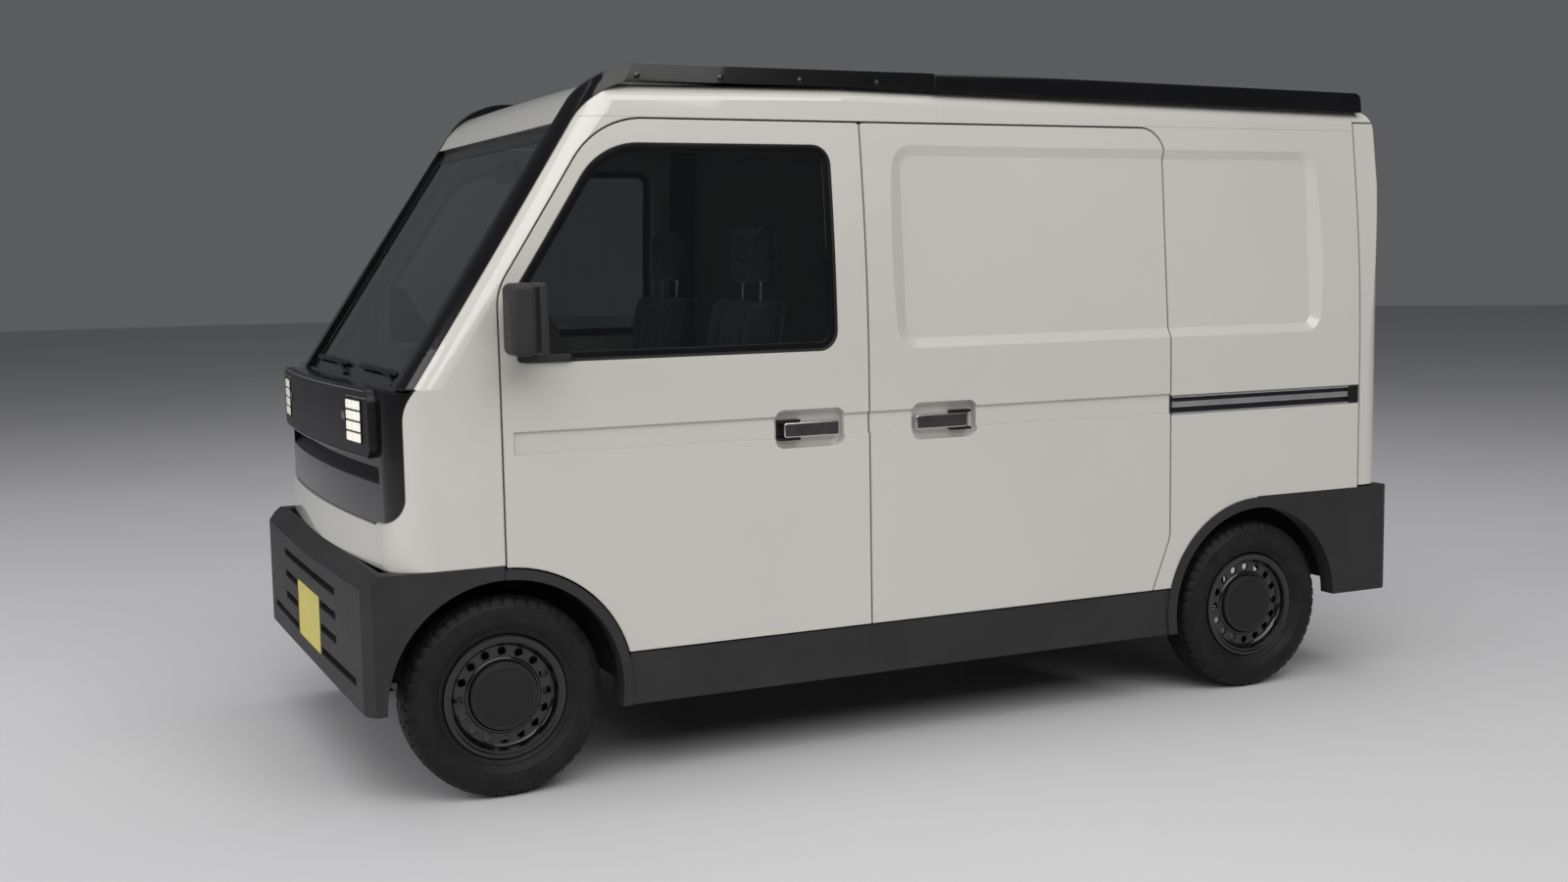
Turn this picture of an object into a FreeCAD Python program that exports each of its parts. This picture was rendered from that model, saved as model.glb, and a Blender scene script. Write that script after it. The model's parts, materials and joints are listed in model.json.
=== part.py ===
# Kei van: a one-box light commercial van, 3.395 m long.
# X points forward, Y to the van's left and Z up. The origin is on the ground under the middle of its box.
# Lengths are in millimetres.

import FreeCAD, Part
import Sketcher
import math
import os
from FreeCAD import Vector

doc = FreeCAD.newDocument("kei_van")

# The driving dimensions
DIMENSIONS = {
    # the whole van
    "overall_length": 3395.0, "body_width": 1475.0, "wall": 50.0, "overrun": 60.0, "seam": 5.0, "fit": 0.3,
    "join_tolerance": 0.01,
    # the body's outer form
    "nose_setback": 49.5, "nose_sweep": 42.0, "nose_corner": 105.0, "rear_setback": 33.5, "rear_sweep": 16.0,
    "rear_corner": 60.0, "rear_top_lean": 26.0, "rear_top_radius": 110.0, "side_bend_z": 1350.0,
    "side_bend_radius": 5200.0, "side_lean": 55.5, "roof_side_z": 1872.0, "roof_crown": 18.0,
    "roof_corner": 60.0, "roof_apex_x": 300.0, "roof_front_fall": 16.0, "roof_rear_fall": 29.0,
    "roof_front_radius": 230.0, "cowl_setback": 82.0, "cowl_z": 1085.0, "cowl_radius": 22.0,
    "sill_bottom": 212.0, "sill_top": 358.0,
    # glass
    "glass_thickness": 5.0, "glass_depth": 6.0, "screen_depth": 14.0,
    # wheels and axles
    "front_overhang": 375.5, "rear_overhang": 558.5, "wheel_inset": 87.5, "tyre_radius": 268.0,
    "tyre_width": 145.0, "tyre_shoulder": 22.0, "rim_radius": 152.4, "rim_flange": 12.6, "rim_width": 104.0,
    "disc_offset": 22.0, "disc_thickness": 7.0, "cap_radius": 90.0, "cap_proud": 14.0, "hole_radius": 11.0,
    "hole_circle": 119.0, "hole_count": 16.0, "hub_depth": 40.0, "hub_radius": 62.0, "spindle_radius": 27.0,
    "kingpin_inset": 60.0, "kingpin_radius": 10.0, "kingpin_height": 44.0, "axle_radius": 34.0,
    "arm_half_width": 36.0, "arm_thickness": 26.0, "subframe_half_length": 190.0,
    "subframe_half_width": 400.0, "motor_low_z": 245.0,
    # the black frame
    "pillar_width": 137.5, "pillar_side": 86.0, "frame_proud": 2.0, "frame_setback": 29.0,
    "frame_lead": 2.0, "frame_corner": 80.0, "frame_bend": 120.0, "frame_roof_radius": 230.0,
    "frame_rear_drop": 36.0, "frame_tail_gap": 22.0, "rail_height": 48.0, "rail_radius": 250.0,
    "rail_end_inset": 79.0, "rail_corner": 22.0, "rail_rear_fall": 22.0, "rail_flat_x": -20.0,
    "nose_band": 111.0, "mask_recess": 6.0, "mask_depth": 45.0, "grille_height": 63.0, "grille_depth": 30.0,
    # lamps
    "lamp_height": 180.0, "lamp_overlap": 20.0, "lamp_proud": 15.0, "lamp_corner": 40.0, "lens_inset": 149.0,
    "lens_width": 176.0, "lens_low_gap": 26.0, "lens_high_gap": 39.0, "lens_gap": 5.0, "lens_proud": 6.0,
    "tail_lamp_width": 60.0, "tail_lamp_low_z": 700.0, "tail_lamp_height": 360.0, "tail_lamp_depth": 14.0,
    # doors and their windows
    "door_setback": 330.0, "door_rear_x": 251.5, "door_drop": 97.5, "door_bend_radius": 150.0,
    "door_top_radius": 240.0, "door_corner": 12.0, "slide_reach": 342.0, "slide_corner": 85.0,
    "slide_curl": 65.0, "slide_curl_z": 520.0, "tailgate_wrap": 110.0, "tailgate_bottom_gap": 7.0,
    "tailgate_drop": 66.0, "window_sill": 57.0, "window_drop": 64.5, "window_rear_gap": 96.5,
    "window_front_gap": 46.0, "window_corner": 55.0, "window_top_radius": 200.0, "screen_drop": 11.5,
    # wheel arches and bumpers
    "front_opening": 316.0, "rear_opening": 318.0, "flare_width": 27.0, "rear_flare_width": 32.0,
    "flare_proud": 4.0, "bumper_top_z": 622.0, "front_bumper_bottom": 262.0, "rear_bumper_bottom": 276.0,
    "bumper_side_inset": 37.5, "bumper_bow": 7.5, "bumper_corner_back": 30.5, "shelf_drop": 42.0,
    "bumper_depth": 58.0, "bumper_edge": 14.0, "rear_bumper_corner": 45.0,
    "plate_width": 330.0, "plate_height": 165.0, "plate_low_z": 315.0, "plate_thickness": 4.0,
    "slot_low_z": 322.0, "slot_pitch": 66.0, "slot_height": 22.0, "slot_depth": 22.0,
    "slot_inner_y": 180.0, "slot_outer_y": 390.0, "slot_low_outer_y": 620.0,
    # pressings in the side
    "groove_bottom_z": 905.0, "groove_top_z": 965.0, "groove_depth": 7.0, "groove_front_gap": 31.0,
    "rail_slot_drop": 6.0, "rail_slot_depth": 14.0, "recess_front_gap": 100.5, "recess_rear_gap": 167.0,
    "recess_margin": 4.0, "recess_depth": 14.0, "recess_border": 30.0, "recess_corner": 62.0,
    # handles and mirrors
    "handle_lead": 293.5, "slide_handle_lead": 138.5, "handle_length": 214.0, "handle_drop": 29.0,
    "handle_height": 106.0, "handle_pocket": 30.0, "handle_corner": 26.0, "handle_margin": 13.0,
    "handle_pivot": 32.0, "handle_bar": 10.0, "mirror_lead": 8.0, "mirror_length": 96.0, "mirror_gap": 64.5,
    "mirror_width": 96.0, "mirror_rise": 26.0, "mirror_height": 182.0, "mirror_corner": 24.0,
    "sail_length": 118.0, "sail_height": 210.0, "sail_thickness": 9.0,
    # hinges
    "hinge_inset": 12.0, "hinge_side_inset": 6.5, "hinge_pin": 4.0, "hinge_length": 34.0,
    "tailgate_hinge_gap": 12.0, "tailgate_barrel": 9.0, "tailgate_hinge_y": 420.0,
    "tailgate_barrel_length": 44.0,
    # sills, floor and roof hoop
    "sill_rear_reach": 339.0, "sill_inner_inset": 147.5, "sill_gap": 4.0, "cabin_clearance": 7.0,
    "floor_thickness": 12.0, "cabin_floor_z": 380.0, "load_floor_z": 600.0, "load_front_gap": 48.5,
    "liner_radius": 326.0, "liner_inset": 238.0, "fire_wall_gap": 6.0, "hoop_gap": 8.0, "hoop_length": 80.0,
    "hoop_depth": 34.0,
    # battery, seats and controls
    "battery_front_gap": 562.0, "battery_rear_gap": 439.0, "battery_inset": 237.5, "battery_low_z": 226.0,
    "dash_length": 260.0, "dash_bottom_z": 760.0, "dash_top_z": 1050.0, "dash_side_gap": 97.5,
    "leg_room": 290.0, "cushion_length": 465.0, "seat_inner_y": 105.0, "seat_side_gap": 177.5,
    "seat_base_z": 565.0, "cushion_top_z": 690.0, "back_thickness": 110.0, "back_top_z": 1290.0,
    "back_lean": 110.0, "headrest_gap": 36.0, "headrest_height": 170.0, "headrest_width": 260.0,
    "headrest_post": 6.0, "wheel_gap": 150.0, "wheel_z": 1010.0, "wheel_ring": 175.0, "wheel_grip": 14.0,
    "wheel_hub": 52.0, "wheel_tilt": 42.0, "column_radius": 26.0, "shaft_radius": 13.0,
    "column_length": 190.0,
    # wipers and roof rack
    "wiper_width": 16.0, "wiper_length": 470.0, "wiper_thickness": 12.0, "wiper_rise": 32.0,
    "wiper_inset": 25.0, "wiper_gap": 50.0, "rack_hole_radius": 4.0, "rack_hole_depth": 24.0,
    "rack_spacing": 600.0, "rack_inset": 99.5, "rack_x": 310.0,
}

sheet = doc.addObject("Spreadsheet::Sheet", "Dimensions")
for row, (alias, number) in enumerate(DIMENSIONS.items(), start=1):
    sheet.set("A%d" % row, alias)
    sheet.set("B%d" % row, repr(number))
    sheet.setAlias("B%d" % row, alias)
doc.recompute()

HALF = 0.5
BOW_SHARE = 0.81
# how far the windscreen falls back for each millimetre that it rises
SCREEN_LEAN_SHARE = 0.664


class Size:
    """A length with its value and the expression that binds it to the sheet."""

    def __init__(self, value, text):
        self.value = value
        self.text = text

    def __add__(self, other):
        return Size(self.value + other.value, "(%s + %s)" % (self.text, other.text))

    def __sub__(self, other):
        return Size(self.value - other.value, "(%s - %s)" % (self.text, other.text))

    def __mul__(self, share):
        return Size(self.value * share, "(%s * %r)" % (self.text, share))

    def __neg__(self):
        return Size(-self.value, "(0 - %s)" % self.text)


places = {}


def size(alias):
    """A driving dimension, or a place worked out from several, as a Size."""
    if alias in places:
        return places[alias]
    return Size(float(sheet.get(alias)), "Dimensions." + alias)


def dim(alias):
    """The same as a plain number."""
    return size(alias).value


def set_place(alias, start, *steps):
    """A place that follows others: where it starts, and the signed lengths to add."""
    total = size(start) if isinstance(start, str) else start
    for step in steps:
        total = total - size(step[1:]) if step.startswith("-") else total + size(step)
    places[alias] = total


# Places along the van
set_place("half_length", size("overall_length") * HALF)
set_place("half_width", size("body_width") * HALF)
set_place("nose_x", "half_length", "-nose_setback")
set_place("cowl_x", "nose_x", "-cowl_setback")
set_place("fire_wall_x", "cowl_x", "-fire_wall_gap")
set_place("rear_wall_x", -size("half_length"), "rear_setback")
set_place("front_axle_x", "half_length", "-front_overhang")
set_place("rear_axle_x", -size("half_length"), "rear_overhang")
set_place("door_front_x", "nose_x", "-door_setback")
set_place("slide_rear_x", "rear_axle_x", "slide_reach")
set_place("tailgate_seam_x", "rear_wall_x", "tailgate_wrap")
set_place("load_front_x", "door_rear_x", "load_front_gap")
set_place("hoop_front_x", "load_front_x", "-hoop_gap")
set_place("hoop_rear_x", "hoop_front_x", "-hoop_length")
set_place("window_rear_x", "door_rear_x", "window_rear_gap")
set_place("window_front_x", "door_front_x", "-window_front_gap")
set_place("groove_front_x", "door_front_x", "-groove_front_gap")
set_place("hinge_x", "door_front_x", "-hinge_inset")
set_place("mirror_x", "window_front_x", "mirror_lead")
set_place("handle_front_x", "door_rear_x", "handle_lead")
set_place("slide_handle_front_x", "door_rear_x", "-slide_handle_lead")
set_place("recess_front_x", "door_rear_x", "-recess_front_gap")
set_place("recess_rear_x", "tailgate_seam_x", "recess_rear_gap")
set_place("frame_side_x", "cowl_x", "frame_lead")
set_place("frame_rear_x", "tailgate_seam_x", "frame_tail_gap")
set_place("rail_end_x", "rear_wall_x", "rail_end_inset")
set_place("sill_front_x", "front_axle_x", "-liner_radius", "-floor_thickness")
set_place("sill_rear_x", "rear_axle_x", "sill_rear_reach")
set_place("battery_front_x", "front_axle_x", "-battery_front_gap")
set_place("battery_rear_x", "rear_axle_x", "battery_rear_gap")
set_place("dash_rear_x", "fire_wall_x", "-dash_length")
set_place("seat_front_x", "dash_rear_x", "-leg_room")
set_place("seat_rear_x", "seat_front_x", "-cushion_length")
set_place("wheel_x", "dash_rear_x", "-wheel_gap")
set_place("bumper_side_x", "half_length", "-bumper_bow")
set_place("bumper_corner_x", "half_length", "-bumper_corner_back")
# Places across it
set_place("pillar_inner_y", "half_width", "-pillar_width")
set_place("track_half", "half_width", "-wheel_inset")
set_place("kingpin_y", "track_half", "-kingpin_inset")
set_place("liner_inner_y", "track_half", "-liner_inset")
set_place("bumper_side_y", "half_width", "-bumper_side_inset")
set_place("cabin_half_width", "half_width", "-bumper_depth", "-fit")
set_place("sill_inner_y", "half_width", "-sill_inner_inset")
set_place("lamp_half_width", "pillar_inner_y", "lamp_overlap")
set_place("lens_y", "lamp_half_width", "-lens_inset")
set_place("mirror_inner_y", "half_width", "mirror_gap")
set_place("hinge_y", "half_width", "-hinge_side_inset")
set_place("battery_half_width", "half_width", "-battery_inset")
set_place("dash_half_width", "half_width", "-dash_side_gap")
set_place("seat_outer_y", "half_width", "-seat_side_gap")
set_place("wheel_y", -(size("seat_inner_y") + size("seat_outer_y")) * HALF)
set_place("rack_y", "half_width", "-rack_inset")
# Places up it
set_place("rail_top_z", "roof_side_z", "rail_height")
set_place("door_top_z", "roof_side_z", "-door_drop")
set_place("screen_top_z", "door_top_z", "-screen_drop")
set_place("window_top_z", "door_top_z", "-window_drop")
set_place("window_bottom_z", "cowl_z", "window_sill")
set_place("recess_top_z", "window_top_z", "recess_margin")
set_place("recess_bottom_z", "window_bottom_z", "-recess_margin")
set_place("roof_over_rear", "roof_side_z", "-tailgate_drop")
set_place("frame_rear_z", "roof_side_z", "-frame_rear_drop")
set_place("frame_bottom_z", "bumper_top_z", "nose_band")
set_place("tailgate_bottom_z", "bumper_top_z", "tailgate_bottom_gap")
set_place("lamp_bottom_z", "cowl_z", "-lamp_height")
set_place("grille_bottom_z", "lamp_bottom_z", "-grille_height")
set_place("lens_low_z", "lamp_bottom_z", "lens_low_gap")
set_place("lens_high_z", "cowl_z", "-lens_high_gap")
set_place("shelf_z", "bumper_top_z", "-shelf_drop")
set_place("handle_bottom_z", "groove_bottom_z", "-handle_drop")
set_place("handle_top_z", "handle_bottom_z", "handle_height")
set_place("rail_slot_bottom_z", "groove_bottom_z", "-rail_slot_drop")
set_place("rail_slot_top_z", "groove_top_z", "-rail_slot_drop")
set_place("mirror_low_z", "window_bottom_z", "mirror_rise")
set_place("mirror_high_z", "mirror_low_z", "mirror_height")
set_place("tail_lamp_high_z", "tail_lamp_low_z", "tail_lamp_height")

ZERO = Size(0.0, "0")
SIDES = {"left": 1.0, "right": -1.0}
finished = []

# Values that many pieces share
LENGTH = dim("overall_length")
HALF_LENGTH = dim("half_length")
WIDTH = dim("body_width")
HALF_WIDTH = dim("half_width")
OVERRUN = dim("overrun")
SEAM = dim("seam")
FIT = dim("fit")
WALL = dim("wall")
SILL_TOP = dim("sill_top")
SKY = dim("rail_top_z") + OVERRUN
FRONT_AXLE = dim("front_axle_x")
REAR_AXLE = dim("rear_axle_x")
AXLE_Z = dim("tyre_radius")
BUMPER_TOP = dim("bumper_top_z")
PILLAR_Y = dim("pillar_inner_y")
DOOR_INNER_Y = HALF_WIDTH - WALL
TAILGATE_X = dim("tailgate_seam_x")
ROOF_SEAM_Z = dim("door_top_z") + SEAM * HALF
LOAD_X = dim("load_front_x")


# Outlines

def bow(half, rise):
    """The middle corner's rise and radius for a gentle bow across twice a half width."""
    slope = rise / (half * (1.0 - BOW_SHARE * HALF))
    return half * slope, BOW_SHARE * half / slope


def inset_outline(corners, inset):
    """A counter-clockwise outline moved inward, or outward where the inset is negative."""
    moved = []
    count = len(corners)
    for index, (across, up, radius) in enumerate(corners):
        back = corners[index - 1]
        ahead = corners[(index + 1) % count]
        arrive = Vector(across - back[0], up - back[1], 0.0).normalize()
        leave = Vector(ahead[0] - across, ahead[1] - up, 0.0).normalize()
        normal_in = Vector(-arrive.y, arrive.x, 0.0)
        normal_out = Vector(-leave.y, leave.x, 0.0)
        shift = (normal_in + normal_out) * (inset / (1.0 + normal_in.dot(normal_out)))
        turn = arrive.x * leave.y - arrive.y * leave.x
        rounded = radius - inset if turn > 0.0 else radius + inset
        kept = max(rounded, 0.0) if radius > 0.0 else 0.0
        moved.append((across + shift.x, up + shift.y, kept))
    return moved


def outline_wire(corners, place):
    """A closed wire whose corners are rounded. place turns two flat coordinates into a point."""
    spans = []
    count = len(corners)
    for index, (across, up, radius) in enumerate(corners):
        here = Vector(across, up, 0.0)
        back = (Vector(*corners[index - 1][:2], 0.0) - here).normalize()
        ahead = (Vector(*corners[(index + 1) % count][:2], 0.0) - here).normalize()
        if radius <= 0.0:
            spans.append((here, None, here))
            continue
        half_angle = back.getAngle(ahead) * HALF
        reach = radius / math.tan(half_angle)
        middle = (back + ahead).normalize() * (radius / math.sin(half_angle) - radius)
        spans.append((here + back * reach, here + middle, here + ahead * reach))
    edges = []
    for index, (start, middle, end) in enumerate(spans):
        if middle is not None:
            arc = Part.Arc(place(start), place(middle), place(end))
            edges.append(arc.toShape())
        following = spans[(index + 1) % count][0]
        if end.distanceToPoint(following) > FIT * FIT:
            edges.append(Part.LineSegment(place(end), place(following)).toShape())
    return Part.Wire(edges)


def prism(plane, corners, low, high):
    """A solid drawn as a flat outline in xz, yz or xy and pulled along the third axis."""
    flat_places = {
        "xz": lambda point: Vector(point.x, low, point.y),
        "yz": lambda point: Vector(low, point.x, point.y),
        "xy": lambda point: Vector(point.x, point.y, low),
    }
    pulls = {"xz": Vector(0, high - low, 0), "yz": Vector(high - low, 0, 0), "xy": Vector(0, 0, high - low)}
    return Part.Face(outline_wire(corners, flat_places[plane])).extrude(pulls[plane])


def block(x_low, x_high, y_low, y_high, z_low, z_high):
    """A plain box between its two corners."""
    corner = Vector(x_low, y_low, z_low)
    return Part.makeBox(x_high - x_low, y_high - y_low, z_high - z_low, corner)


def rectangle(low_across, high_across, low_up, high_up, radius=0.0):
    """The four corners of an upright rectangle."""
    return [(low_across, low_up, radius), (high_across, low_up, radius),
            (high_across, high_up, radius), (low_across, high_up, radius)]


def disc(radius, x, z, y_low, y_high):
    """A round plug whose axis runs across the van."""
    return Part.makeCylinder(radius, y_high - y_low, Vector(x, y_low, z), Vector(0, 1, 0))


def mirrored(shape):
    return shape.mirror(Vector(0, 0, 0), Vector(0, 1, 0))


def both_sides(shape):
    """A shape and its mirror image on the other side."""
    return shape.fuse(mirrored(shape))


def within(base, *limits):
    """What a shape keeps inside each limit, found with a small tolerance."""
    for limit in limits:
        base = base.common([limit], dim("join_tolerance"))
    return base


def minus(base, *tools):
    """A shape without its tools, found with a small tolerance."""
    return base.cut(list(tools), dim("join_tolerance"))


def solids_of(shape):
    """The real solids of a shape, without slivers."""
    least_volume = SEAM ** 2 * WALL
    kept = [solid for solid in shape.Solids if solid.Volume > least_volume]
    return kept[0] if len(kept) == 1 else Part.makeCompound(kept)


def keep(name, shape):
    """One sub-part whose shape is set here."""
    piece = doc.addObject("Part::Feature", name)
    piece.Label = name
    piece.Shape = solids_of(shape)
    piece.Placement = FreeCAD.Placement()
    finished.append(piece)
    return piece


# The body's outer form

ROOF_FRONT_Z = dim("roof_side_z") + dim("roof_crown")
REAR_X = dim("rear_wall_x")
NOSE_X = dim("nose_x")
COWL_Z = dim("cowl_z")
COWL_X = dim("cowl_x")
SCREEN_ANGLE = math.atan(SCREEN_LEAN_SHARE)


def screen_x(z, ahead=0.0):
    """Where the windscreen's plane, moved ahead by a distance square to it, lies at a height."""
    return COWL_X - SCREEN_LEAN_SHARE * (z - COWL_Z) + ahead / math.cos(SCREEN_ANGLE)


def screen_z(x):
    """The height at which the windscreen's plane reaches a place along the van."""
    return COWL_Z + (COWL_X - x) / SCREEN_LEAN_SHARE


def bend_reach():
    """The side bend's angle, and how far its arc reaches below and above the bend."""
    angle = math.atan(dim("side_lean") / (dim("roof_side_z") - dim("side_bend_z")))
    return angle, dim("side_bend_radius") * math.tan(angle * HALF)


def side_y(z):
    """The outer side's place at a height, on its gentle bend."""
    bend_z = dim("side_bend_z")
    radius = dim("side_bend_radius")
    angle, reach = bend_reach()
    start = bend_z - reach
    if z <= start:
        return HALF_WIDTH
    if z >= bend_z + reach * math.cos(angle):
        return HALF_WIDTH - (z - bend_z) * math.tan(angle)
    return HALF_WIDTH - radius + math.sqrt(radius ** 2 - (z - start) ** 2)


def side_outline():
    """The van seen from its side, without bumpers."""
    roof_front = ROOF_FRONT_Z - dim("roof_front_fall") * HALF
    return [
        (REAR_X, dim("sill_bottom"), 0.0),
        (NOSE_X, dim("sill_bottom"), 0.0),
        (NOSE_X, COWL_Z, dim("cowl_radius")),
        (COWL_X, COWL_Z, 0.0),
        (screen_x(roof_front), roof_front, dim("roof_front_radius")),
        (dim("roof_apex_x"), ROOF_FRONT_Z + OVERRUN, 0.0),
        (REAR_X + dim("rear_top_lean"), ROOF_FRONT_Z - dim("roof_rear_fall") * HALF, dim("rear_top_radius")),
    ]


def end_outline(top_rise=0.0):
    """The van seen from its end."""
    lean_y = HALF_WIDTH - dim("side_lean")
    side_z = dim("roof_side_z") + top_rise
    peak_rise, crown_radius = bow(lean_y, dim("roof_crown"))
    return [
        (-HALF_WIDTH, 0.0, 0.0),
        (HALF_WIDTH, 0.0, 0.0),
        (HALF_WIDTH, dim("side_bend_z"), dim("side_bend_radius")),
        (lean_y, side_z, dim("roof_corner")),
        (0.0, side_z + peak_rise, crown_radius),
        (-lean_y, side_z, dim("roof_corner")),
        (-HALF_WIDTH, dim("side_bend_z"), dim("side_bend_radius")),
    ]


def plan_outline():
    """The van seen from above."""
    nose_rise, nose_radius = bow(HALF_WIDTH, dim("nose_sweep"))
    rear_rise, rear_radius = bow(HALF_WIDTH, dim("rear_sweep"))
    nose_side = NOSE_X - dim("nose_sweep")
    rear_side = REAR_X + dim("rear_sweep")
    return [
        (rear_side, -HALF_WIDTH, dim("rear_corner")),
        (nose_side, -HALF_WIDTH, dim("nose_corner")),
        (nose_side + nose_rise, 0.0, nose_radius),
        (nose_side, HALF_WIDTH, dim("nose_corner")),
        (rear_side, HALF_WIDTH, dim("rear_corner")),
        (rear_side - rear_rise, 0.0, rear_radius),
    ]


def swept_section(inset):
    """The end outline carried along the roof's gentle fall to the front and to the rear."""
    apex = dim("roof_apex_x")
    wire = outline_wire(inset_outline(end_outline(), inset), lambda point: Vector(apex, point.x, point.y))
    face = Part.Face(wire)
    front = face.extrude(Vector(NOSE_X + OVERRUN - apex, 0, -dim("roof_front_fall")))
    rear = face.extrude(Vector(REAR_X - OVERRUN - apex, 0, -dim("roof_rear_fall")))
    return front.fuse(rear)


BEND_STEPS = 4


def pillar_corners(out):
    """What a slanted rounding takes off both windscreen pillars, for a form moved outward."""
    reach = bend_reach()[1]
    heights = [dim("grille_bottom_z")]
    for step in range(BEND_STEPS + 1):
        heights.append(dim("side_bend_z") + reach * (2.0 * step / BEND_STEPS - 1.0))
    heights.append(SKY + OVERRUN)
    radius = max(dim("nose_corner") + out, dim("cowl_radius"))
    wires = []
    for z in heights:
        x = screen_x(z, out)
        y = side_y(z) + out + FIT
        corners = [(-LENGTH, -y, 0.0), (x, -y, radius), (x, y, radius), (-LENGTH, y, 0.0)]
        wires.append(outline_wire(corners, lambda point, height=z: Vector(point.x, point.y, height)))
    rounded = Part.makeLoft(wires, True, False)
    return block(0.0, LENGTH, -WIDTH, WIDTH, COWL_Z + out, heights[-1]).cut(rounded)


def plain_form(inset):
    """The closed body form with square windscreen pillars, moved inward by an inset."""
    side = prism("xz", inset_outline(side_outline(), inset), -WIDTH, WIDTH)
    plan = prism("xy", inset_outline(plan_outline(), inset), 0.0, SKY)
    return within(side, plan, swept_section(inset))


made_forms = {}


def envelope(inset=0.0):
    """The closed body form, moved inward by an inset."""
    if inset not in made_forms:
        made_forms[inset] = minus(plain_form(inset), pillar_corners(-inset))
    return made_forms[inset]


outer_form = envelope()
inner_form = envelope(WALL)
shell = minus(outer_form, inner_form)


# Seams and openings, as outlines seen from the side

def slanted_outline(front_x, rear_x, low, top, behind, radii):
    """A door's or window's outline, whose upper front edge runs a distance behind the windscreen."""
    return [
        (rear_x, low, radii[0]),
        (front_x, low, radii[1]),
        (front_x, screen_z(front_x + behind), radii[2]),
        (screen_x(top) - behind, top, radii[3]),
        (rear_x, top, radii[4]),
    ]


def door_outline():
    radii = (0.0, 0.0, dim("door_bend_radius"), dim("door_top_radius"), dim("door_corner"))
    return slanted_outline(dim("door_front_x"), dim("door_rear_x"), SILL_TOP - SEAM * HALF,
                           dim("door_top_z"), dim("pillar_side"), radii)


def window_outline():
    corner = dim("window_corner")
    radii = (corner, corner * HALF, corner, dim("window_top_radius"), corner)
    return slanted_outline(dim("window_front_x"), dim("window_rear_x"), dim("window_bottom_z"),
                           dim("window_top_z"), dim("pillar_side") + dim("window_front_gap"), radii)


def slide_outline():
    rear = dim("slide_rear_x")
    return [
        (rear + dim("slide_curl"), SILL_TOP - SEAM * HALF, 0.0),
        (dim("door_rear_x"), SILL_TOP - SEAM * HALF, 0.0),
        (dim("door_rear_x"), dim("door_top_z"), dim("door_corner")),
        (rear, dim("door_top_z"), dim("slide_corner")),
        (rear, dim("slide_curl_z"), dim("slide_corner")),
    ]


def frame_outline():
    """The black frame's side: everything ahead of and above the white panels."""
    front = NOSE_X + LENGTH * HALF
    side_x = dim("frame_side_x")
    bottom = dim("frame_bottom_z")
    roof_z = dim("roof_side_z")
    back = dim("frame_setback")
    return [
        (side_x, bottom, dim("frame_corner")),
        (front, bottom, 0.0),
        (front, SKY, 0.0),
        (dim("frame_rear_x"), SKY, 0.0),
        (dim("frame_rear_x"), dim("frame_rear_z"), 0.0),
        (dim("roof_apex_x"), roof_z, 0.0),
        (screen_x(roof_z) - back, roof_z, dim("frame_roof_radius")),
        (side_x, screen_z(side_x + back), dim("frame_bend")),
    ]


def side_prism(corners, inner_y=None):
    """An outline pulled through the left side's wall."""
    low = HALF_WIDTH * HALF if inner_y is None else inner_y
    return prism("xz", corners, low, HALF_WIDTH + OVERRUN)


FRONT_FLARE = dim("front_opening") + dim("flare_width")
REAR_FLARE = dim("rear_opening") + dim("rear_flare_width")


def arch_plugs(gap):
    """What the two wheel arches take from the left side's panels."""
    low = DOOR_INNER_Y - OVERRUN
    high = HALF_WIDTH + OVERRUN
    front = disc(FRONT_FLARE + gap, FRONT_AXLE, AXLE_Z, low, high)
    rear = disc(REAR_FLARE + gap, REAR_AXLE, AXLE_Z, low, high)
    return front.fuse(rear)


def skin(depth, corners):
    """The outermost layer of the left side inside an outline."""
    return outer_form.cut(envelope(depth)).common(side_prism(corners))


def pane(depth, opening):
    """A sheet of glass at a depth below the outer form, where an opening is."""
    return envelope(depth).cut(envelope(depth + dim("glass_thickness"))).common(opening)


# White panels

middle_cut = block(LOAD_X, LENGTH, -PILLAR_Y, PILLAR_Y, dim("frame_bottom_z"), dim("screen_top_z"))
band_cut = both_sides(side_prism(frame_outline(), PILLAR_Y))
white = shell.cut(band_cut).cut(middle_cut)
door_cut = both_sides(side_prism(inset_outline(door_outline(), -SEAM * HALF)))
slide_cut = both_sides(side_prism(inset_outline(slide_outline(), -SEAM * HALF)))


def recess_cutter():
    """A shallow tray with sloped borders, over the sliding door and the quarter, that leans with the side."""
    low = dim("recess_bottom_z")
    high = dim("recess_top_z")
    corners = rectangle(dim("recess_rear_x"), dim("recess_front_x"), low, high, dim("recess_corner"))
    depth = dim("recess_depth")
    slope_share = dim("recess_border") / depth
    wires = []
    for sink in (-depth, depth):
        outline = inset_outline(corners, slope_share * sink)
        wires.append(outline_wire(outline, lambda point, y=-sink: Vector(point.x, y, point.y - low)))
    tray = Part.makeLoft(wires, True, True)
    lean_share = (side_y(low) - side_y(high)) / (high - low)
    tray.rotate(Vector(0, 0, 0), Vector(1, 0, 0), math.degrees(math.atan(lean_share)))
    tray.translate(Vector(0, side_y(low), low))
    return tray


recess = recess_cutter()
groove = skin(dim("groove_depth"), rectangle(dim("slide_rear_x") - SEAM, dim("groove_front_x"),
                                            dim("groove_bottom_z"), dim("groove_top_z")))


def handle_pocket(front_x):
    rear_x = front_x - dim("handle_length")
    corners = rectangle(rear_x, front_x, dim("handle_bottom_z"), dim("handle_top_z"), dim("handle_corner"))
    return prism("xz", corners, HALF_WIDTH - dim("handle_pocket"), HALF_WIDTH + OVERRUN)


def header_zone(front_x):
    """The strip of roof over the windscreen, between the pillars."""
    return block(LOAD_X, front_x, -PILLAR_Y, PILLAR_Y, dim("screen_top_z"), ROOF_SEAM_Z)


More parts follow.
